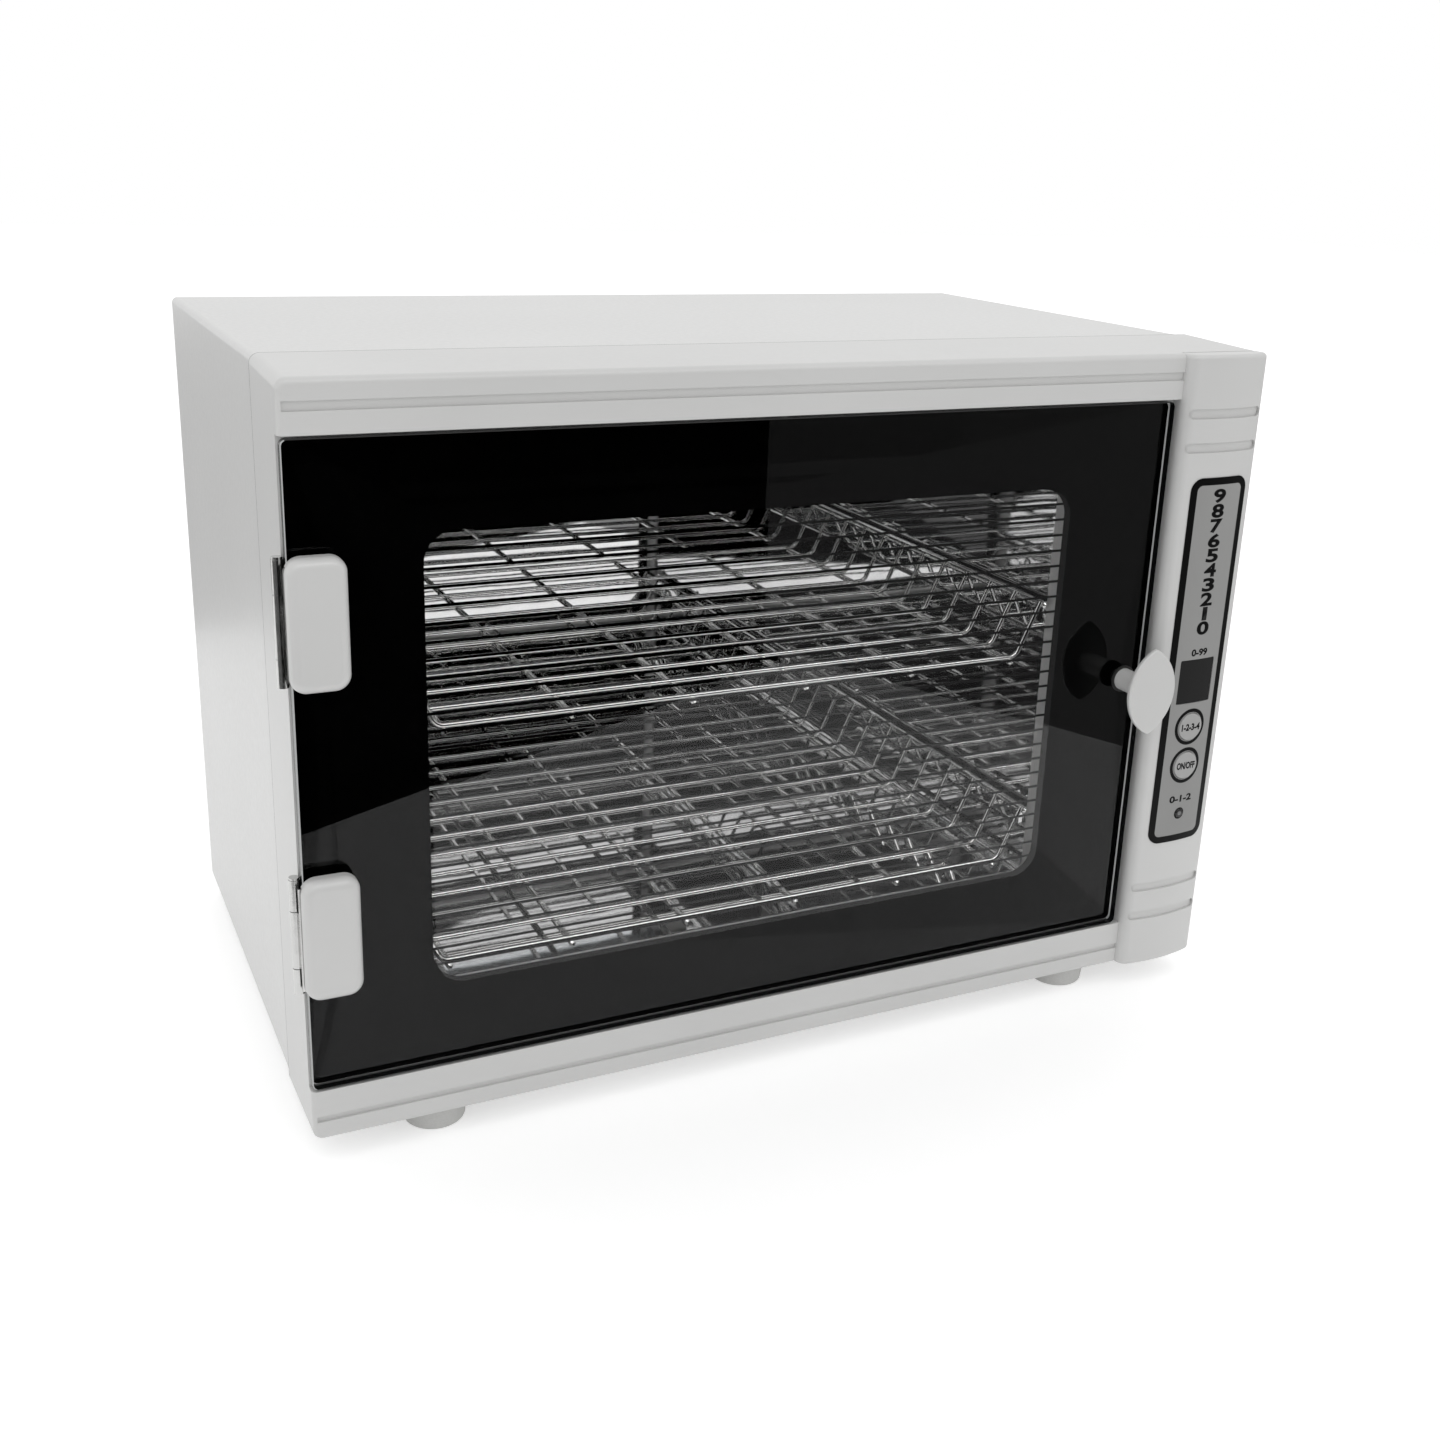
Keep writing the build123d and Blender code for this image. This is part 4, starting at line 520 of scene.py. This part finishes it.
def crossed_screws(node, name, cross):
    """A copy of a node's screws with a cross recess in each head; heads face back or down."""
    piece = own_copy(name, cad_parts[node].data)
    only(piece)
    bpy.ops.object.mode_set(mode="EDIT")
    bpy.ops.mesh.select_all(action="SELECT")
    bpy.ops.mesh.remove_doubles(threshold=0.005 * MM)
    bpy.ops.mesh.dissolve_limited(angle_limit=math.radians(1))
    bpy.ops.object.mode_set(mode="OBJECT")
    places = [Matrix.Translation(face.center) @ (QUARTER_TURN if face.normal.y > 0.5 else Matrix())
              for face in piece.data.polygons
              if face.area > HEAD_AREA and max(face.normal.y, -face.normal.z) > 0.99]
    if not places:
        raise RuntimeError("no screw heads were found in " + node)
    cutters = [own_copy("cross", cross.data) for _ in places]
    only(cutters[0])
    for cutter, place in zip(cutters, places):
        cutter.data.transform(place)
        cutter.select_set(True)
    bpy.ops.object.join()
    only(piece)
    cut = piece.modifiers.new("recess", "BOOLEAN")
    cut.operation = "DIFFERENCE"
    cut.solver = "EXACT"
    cut.object = cutters[0]
    bpy.ops.object.modifier_apply(modifier=cut.name)
    bpy.ops.object.shade_smooth_by_angle(angle=math.radians(35))
    bpy.data.objects.remove(cutters[0])
    return piece


class CABINET_OT_case(bpy.types.Operator):
    """Paint the sheet case, its pan and its back panel, and cut the crosses in its screws"""

    bl_idname = "cabinet.case"
    bl_label = "Case"

    def execute(self, context):
        colours = context.scene.cabinet_colours
        paint = powder_coat("powder_coated_steel", linear(colours.case_white))
        dress(["case_wrap", "base_pan", "back_panel"], paint)
        dress(["liner_stands"], bright_steel("galvanised_sheet", linear("#A9ADAF"), 0.38))
        zinc = bright_steel("zinc_plated_screws", linear("#B9BCBE"), 0.3, 3 * MM, 0.01 * MM)
        dress(["foot_screws", "column_screws", "board_screws", "catch_screws"], zinc)
        cross = driver_cross()
        for node in ("case_screws", "inlet_screws"):
            piece = crossed_screws(node, node + "_crossed", cross)
            piece.data.materials.clear()
            piece.data.materials.append(zinc)
            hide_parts(node)
            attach(piece, "cabinet")
        bpy.data.objects.remove(cross)
        return {"FINISHED"}


class CABINET_OT_frame(bpy.types.Operator):
    """Finish the moulded frame, the control column and the feet"""

    bl_idname = "cabinet.frame"
    bl_label = "Frame and column"

    def execute(self, context):
        colours = context.scene.cabinet_colours
        white = linear(colours.body_white)
        dress(["control_column"], moulded_plastic("moulded_abs", white))
        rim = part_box("front_frame")[1].y - SEAM_DEPTH
        # painted shade: the frame's rear edge is darkened where its seam with the case lies in
        # shadow
        dress(["front_frame"], painted_seam_shade(moulded_plastic("moulded_abs_frame", white), white, rim))
        rubber = soft_rubber("soft_foot_rubber", linear(colours.foot_grey))
        dress(["foot_front_left", "foot_front_right", "foot_rear_left", "foot_rear_right"], rubber)
        dress(["door_seal"], soft_rubber("seal_foam_rubber", linear("#B9B9B7")))
        return {"FINISHED"}


class CABINET_OT_door(bpy.types.Operator):
    """Finish the glass door, its print, hinges, covers and knob"""

    bl_idname = "cabinet.door"
    bl_label = "Door"

    def execute(self, context):
        colours = context.scene.cabinet_colours
        pane = clear_glass("toughened_glass", linear("#FBFBFB"), GLASS_INDEX, clear_window())
        # the pane's edge faces are painted dark: painted shade for how its polished edges and the
        # gap beside them look
        dress(["door_glass"], edged(pane, linear("#101111"), linear("#B4B6B6")))
        dress(["door_print"], glass_ink("fired_black_ink", linear(colours.print_black)))
        cover = moulded_plastic("moulded_cover", linear(colours.body_white), 0.3, 3.2 * MM)
        dress(["hinge_cover_upper", "hinge_cover_lower", "door_knob"], cover)
        plated = bright_steel("nickel_plated_hinge", linear("#C9C9C8"), 0.2, 3 * MM)
        dress(["door_leaf_upper", "door_leaf_lower", "frame_leaf_upper", "frame_leaf_lower",
               "hinge_pins", "clamp_plates", "strike_plate", "door_hinge_screws", "knob_screw",
               "frame_leaf_screws"], plated)
        dress(["glass_gaskets"], soft_rubber("gasket_rubber", linear("#202020")))
        magnet = bright_steel("plated_magnet", linear("#8E8F91"), 0.35)
        dress(["sensor_magnet", "catch_magnet"], magnet)
        dark = moulded_plastic("black_catch_plastic", linear("#232323"), 0.4)
        dress(["catch_housing", "reed_switch"], dark)
        return {"FINISHED"}


class CABINET_OT_chamber(bpy.types.Operator):
    """Finish the polished chamber, its ledges, baskets and lamp"""

    bl_idname = "cabinet.chamber"
    bl_label = "Chamber"

    def execute(self, context):
        mirror = bright_steel("polished_stainless", linear("#E8E8E8"), 0.025, 26 * MM, 0.03 * MM)
        dress(["chamber_liner", "liner_back", "basket_ledges"], mirror)
        wire = bright_steel("bright_nickel_wire", linear("#EDEDEC"), 0.04, 6 * MM, 0.002 * MM)
        dress(["upper_basket", "lower_basket"], wire)
        dress(["lamp_tube"], clear_glass("lamp_glass", linear("#F7F9FA"), 1.46))
        dress(["lamp_caps"], bright_steel("aluminium_cap", linear("#B4B6B8"), 0.3))
        socket = moulded_plastic("socket_plastic", linear("#E6E6E2"), 0.4)
        dress(["lamp_holder_left", "lamp_holder_right"], socket)
        dress(["lamp_reflector"], bright_steel("reflector_aluminium", linear("#D5D7D9"), 0.14))
        return {"FINISHED"}


class CABINET_OT_electrics(bpy.types.Operator):
    """Finish the controls, the board, the ballast, the leads and the inlet"""

    bl_idname = "cabinet.electrics"
    bl_label = "Electrics"

    def execute(self, context):
        colours = context.scene.cabinet_colours
        dress(["label_overlay"], printed_label(colours, context.scene.cabinet_label))
        keys = moulded_plastic("key_plastic", linear(colours.key_grey), 0.35, 1.5 * MM)
        dress(["select_key", "power_key"], keys)
        smoke = moulded_plastic("smoked_window", linear(colours.lens_smoke), 0.12, 6 * MM,
                                shine=0.25)
        dress(["display_lens"], smoke)
        # the lamp's rim is painted dark: painted shade for how a real pipe's rim bends the view
        # aside
        dress(["power_lamp"], light_pipe("lamp_pipe", linear("#6E6E6E"), linear("#101010")))
        dark = moulded_plastic("dark_part_plastic", linear("#1F1F20"), 0.45)
        dress(["display_module", "key_switches", "power_inlet"], dark)
        dress(["control_board"], moulded_plastic("board_laminate", linear("#2F4A36"), 0.45))
        dress(["ballast"], bright_steel("ballast_case", linear("#A6A8AA"), 0.35))
        sheath = moulded_plastic("lead_sheath", linear("#DADAD6"), 0.5)
        dress(["lamp_leads", "board_leads"], sheath)
        dress(["inlet_pins"], bright_steel("nickel_blades", linear("#C8C6BF"), 0.2))
        return {"FINISHED"}


class CABINET_OT_label(bpy.types.Operator):
    """Print the plain figures on the control label and the keys"""

    bl_idname = "cabinet.label"
    bl_label = "Printed figures"

    def execute(self, context):
        sizes = context.scene.cabinet_label
        ink = plain_ink("label_ink", linear(context.scene.cabinet_colours.label_ink))
        low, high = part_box("label_overlay")
        across = (low.x + high.x) / 2
        prints = []
        for i, figure in enumerate("9876543210"):
            wide = sizes.figure_width * (NARROW if figure == "1" else 1)
            up = high.z - sizes.figure_top - i * sizes.figure_pitch
            prints.append(("scale_figure_" + figure, figure, sizes.figure_height, wide, up,
                           "label_overlay"))
        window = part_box("display_lens")[1].z
        lamp = middle_of("power_lamp").z
        for name, text, wide, up, carrier in (
                ("window", "0-99", sizes.window_width, window + WINDOW_RISE, "label_overlay"),
                ("lamp", "0-1-2", sizes.lamp_width, lamp + LAMP_RISE, "label_overlay"),
                ("select_key", "1-2-3-4", sizes.key_width, middle_of("select_key").z,
                 "select_key"),
                ("power_key", "ON/OFF", sizes.key_width, middle_of("power_key").z, "power_key")):
            prints.append((name + "_figures", text, sizes.small_height, wide, up, carrier))
        for name, text, height, wide, up, carrier in prints:
            body, weight = PRINTED_ON[carrier]
            spot = Vector((across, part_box(carrier)[0].y - 1 * MM, up))
            piece = printed_text(name, text, height, wide, spot, carrier, weight)
            piece.data.materials.append(ink)
            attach(piece, body)
        return {"FINISHED"}


def stage_sheet(name, corners, height, mat):
    """A flat sheet of the stage through the given corners."""
    bpy.ops.object.select_all(action="DESELECT")
    bpy.ops.mesh.primitive_plane_add(size=1, location=(0, 0, 0))
    sheet = bpy.context.object
    sheet.name = name
    for vertex, (x, y) in zip([sheet.data.vertices[i] for i in (0, 1, 3, 2)], corners):
        vertex.co = (x, y, height)
    sheet.data.update()
    sheet.data.materials.append(mat)
    return sheet


def mirrored_sheet(name, corners, height, mat):
    """A sheet of the stage that only reflections see."""
    sheet = stage_sheet(name, corners, height, mat)
    sheet.visible_camera = False
    sheet.visible_diffuse = False
    sheet.visible_transmission = False
    sheet.visible_shadow = False
    sheet.visible_volume_scatter = False
    return sheet


def background_rays(tree):
    """1 for rays that see the white background: from the camera, from metal, through glass."""
    path = add(tree, "ShaderNodeLightPath")
    seen = path.outputs["Is Camera Ray"]
    for name in ("Is Glossy Ray", "Is Transmission Ray"):
        seen = add(tree, "ShaderNodeMath", {0: seen, 1: path.outputs[name]},
                   operation="MAXIMUM").outputs[0]
    return seen


def stage_floor(lift, bounce):
    """Plain pale floor that reads white where nothing shades it, and keeps the shadow."""
    mat, tree = blank("stage_floor")
    body = add(tree, "ShaderNodeBsdfDiffuse", {"Color": (0.8, 0.8, 0.8, 1.0)})
    strength = add(tree, "ShaderNodeMapRange", {"Value": background_rays(tree),
                                                "To Min": bounce, "To Max": lift})
    glow = add(tree, "ShaderNodeEmission", {"Strength": strength.outputs[0]})
    both = add(tree, "ShaderNodeAddShader", {0: body.outputs[0], 1: glow.outputs[0]})
    add(tree, "ShaderNodeOutputMaterial", {"Surface": both.outputs[0]})
    return mat


def stage_black():
    """Black cloth of the flags that keep the studio out of the glass."""
    mat, tree = blank("stage_flag")
    body = add(tree, "ShaderNodeBsdfDiffuse", {"Color": (0.0, 0.0, 0.0, 1.0)})
    add(tree, "ShaderNodeOutputMaterial", {"Surface": body.outputs[0]})
    return mat


def stage_glow(name, strength):
    """Even light of a thing that only reflections see."""
    mat, tree = blank(name)
    glow = add(tree, "ShaderNodeEmission", {"Strength": strength})
    add(tree, "ShaderNodeOutputMaterial", {"Surface": glow.outputs[0]})
    return mat


def studio_world(settings):
    """Soft light that is strongest from above; the camera, metal and glass see plain white."""
    world = bpy.data.worlds.new("studio")
    bpy.context.scene.world = world
    world.use_nodes = True
    tree = world.node_tree
    tree.nodes.clear()
    place = add(tree, "ShaderNodeTexCoord").outputs["Generated"]
    up = add(tree, "ShaderNodeSeparateXYZ", {0: place}).outputs["Z"]
    level = add(tree, "ShaderNodeMapRange", {"Value": up, "From Min": 0.0, "From Max": 1.0,
                                             "To Min": settings.horizon,
                                             "To Max": settings.zenith})
    bright = (1, 1, 1, 1)
    light = add(tree, "ShaderNodeBackground", {"Color": bright,
                                               "Strength": level.outputs["Result"]})
    white = add(tree, "ShaderNodeBackground", {"Color": bright, "Strength": 1.0})
    both = add(tree, "ShaderNodeMixShader", {0: background_rays(tree), 1: light.outputs[0],
                                             2: white.outputs[0]})
    add(tree, "ShaderNodeOutputWorld", {"Surface": both.outputs[0]})


def floor_sheets(settings, black):
    """The floor, and the sheets that reflections see in place of its far parts.

    Of the floor itself only floor_near is mirrored, and the flags around it are darker.
    """
    floor = stage_floor(settings.floor_lift, settings.floor_bounce)
    near = [(0.273, -0.645), (0.83, 0.62), (-1.513, 0.62), (-1.513, 0.255)]
    stage_sheet("floor_near", near, 0.0, floor)
    far = stage_sheet("floor_far", [(-6, -6), (6, -6), (6, 6), (-6, 6)], -0.0002, floor)
    far.visible_glossy = False
    mirrored_sheet("flag_low", [(-3, -3), (3, -3), (3, 2), (-3, 2)], -0.0006, black)
    for name, cloth, strength, corners in (
            ("flag_rear", "pale_cloth", 0.35, [(-3, 0.62), (3, 0.62), (3, 3), (-3, 3)]),
            ("flag_right", "grey_cloth", 0.3, [(0.25, -0.66), (1.45, -3), (3, -3), (0.83, 0.62)]),
            ("flag_left", "dark_cloth", 0.12, [(-3, -3), (-0.9, -3), (-0.35, -0.4), (-3, 0.8)])):
        mirrored_sheet(name, corners, -0.0004, stage_glow(cloth, strength))


def upright_sheets(settings, black):
    """A black wall before the cabinet, and over it the strip that makes wires and edges glint."""
    wall = mirrored_sheet("flag_front", [(-3, 0), (3, 0), (3, 1.4), (-3, 1.4)], 0, black)
    wall.data.transform(Matrix.Translation((0, -2.6, 0)) @ QUARTER_TURN)
    long, narrow = 1.6, 0.12
    corners = [(-long, -narrow), (long, -narrow), (long, narrow), (-long, narrow)]
    strip = mirrored_sheet("glint_strip", corners, 0, stage_glow("glint_strip", settings.glint))
    tilt = Matrix.Rotation(math.radians(50), 4, "X")
    strip.data.transform(Matrix.Translation((0, -1.5, 1.9)) @ tilt)


class CABINET_OT_stage(bpy.types.Operator):
    """Set up the floor, the flags, the light and the camera"""

    bl_idname = "cabinet.stage"
    bl_label = "Stage"

    def execute(self, context):
        settings = context.scene.cabinet_stage
        black = stage_black()
        floor_sheets(settings, black)
        upright_sheets(settings, black)
        studio_world(settings)
        bpy.ops.object.light_add(type="AREA", location=LAMP_PLACE)
        lamp = context.object
        lamp.name = "soft_lamp"
        lamp.visible_glossy = False
        lamp.data.shape = "DISK"
        lamp.data.size = 1.2
        lamp.data.energy = settings.lamp_power
        lamp.rotation_euler = Vector(LAMP_DIRECTION).to_track_quat("Z", "Y").to_euler()
        bpy.ops.object.camera_add(location=settings.camera_place, rotation=settings.camera_turn)
        camera = context.object
        camera.data.lens = settings.camera_lens
        camera.data.sensor_width = 36
        camera.data.sensor_fit = "HORIZONTAL"
        camera.data.shift_x = settings.shift_x
        camera.data.shift_y = settings.shift_y
        camera.data.clip_start = 0.01
        context.scene.camera = camera
        context.scene.view_settings.view_transform = "Standard"
        return {"FINISHED"}


class CABINET_PT_panel(bpy.types.Panel):
    """The cabinet's operators and settings"""

    bl_label = "Tool sterilizer cabinet"
    bl_idname = "CABINET_PT_panel"
    bl_space_type = "VIEW_3D"
    bl_region_type = "UI"
    bl_category = "Cabinet"

    def draw(self, context):
        for operator in OPERATORS:
            self.layout.operator(operator.bl_idname)
        for group in (context.scene.cabinet_colours, context.scene.cabinet_label,
                      context.scene.cabinet_stage):
            for key in group.bl_rna.properties.keys():
                if key not in ("rna_type", "name"):
                    self.layout.prop(group, key)


GROUPS = (CabinetColours, LabelSizes, StageSettings)
OPERATORS = (CABINET_OT_case, CABINET_OT_frame, CABINET_OT_door, CABINET_OT_chamber,
             CABINET_OT_electrics, CABINET_OT_label, CABINET_OT_stage)


def register():
    """Register the classes and the scene's settings."""
    for kind in (*GROUPS, *OPERATORS, CABINET_PT_panel):
        bpy.utils.register_class(kind)
    bpy.types.Scene.cabinet_colours = PointerProperty(type=CabinetColours)
    bpy.types.Scene.cabinet_label = PointerProperty(type=LabelSizes)
    bpy.types.Scene.cabinet_stage = PointerProperty(type=StageSettings)


def unregister():
    """Take the settings and the classes away again."""
    del bpy.types.Scene.cabinet_colours
    del bpy.types.Scene.cabinet_label
    del bpy.types.Scene.cabinet_stage
    for kind in reversed((*GROUPS, *OPERATORS, CABINET_PT_panel)):
        bpy.utils.unregister_class(kind)


def main():
    """Run every operator in order."""
    register()
    bpy.ops.cabinet.case()
    bpy.ops.cabinet.frame()
    bpy.ops.cabinet.door()
    bpy.ops.cabinet.chamber()
    bpy.ops.cabinet.electrics()
    bpy.ops.cabinet.label()
    bpy.ops.cabinet.stage()


if __name__ == "__main__":
    main()
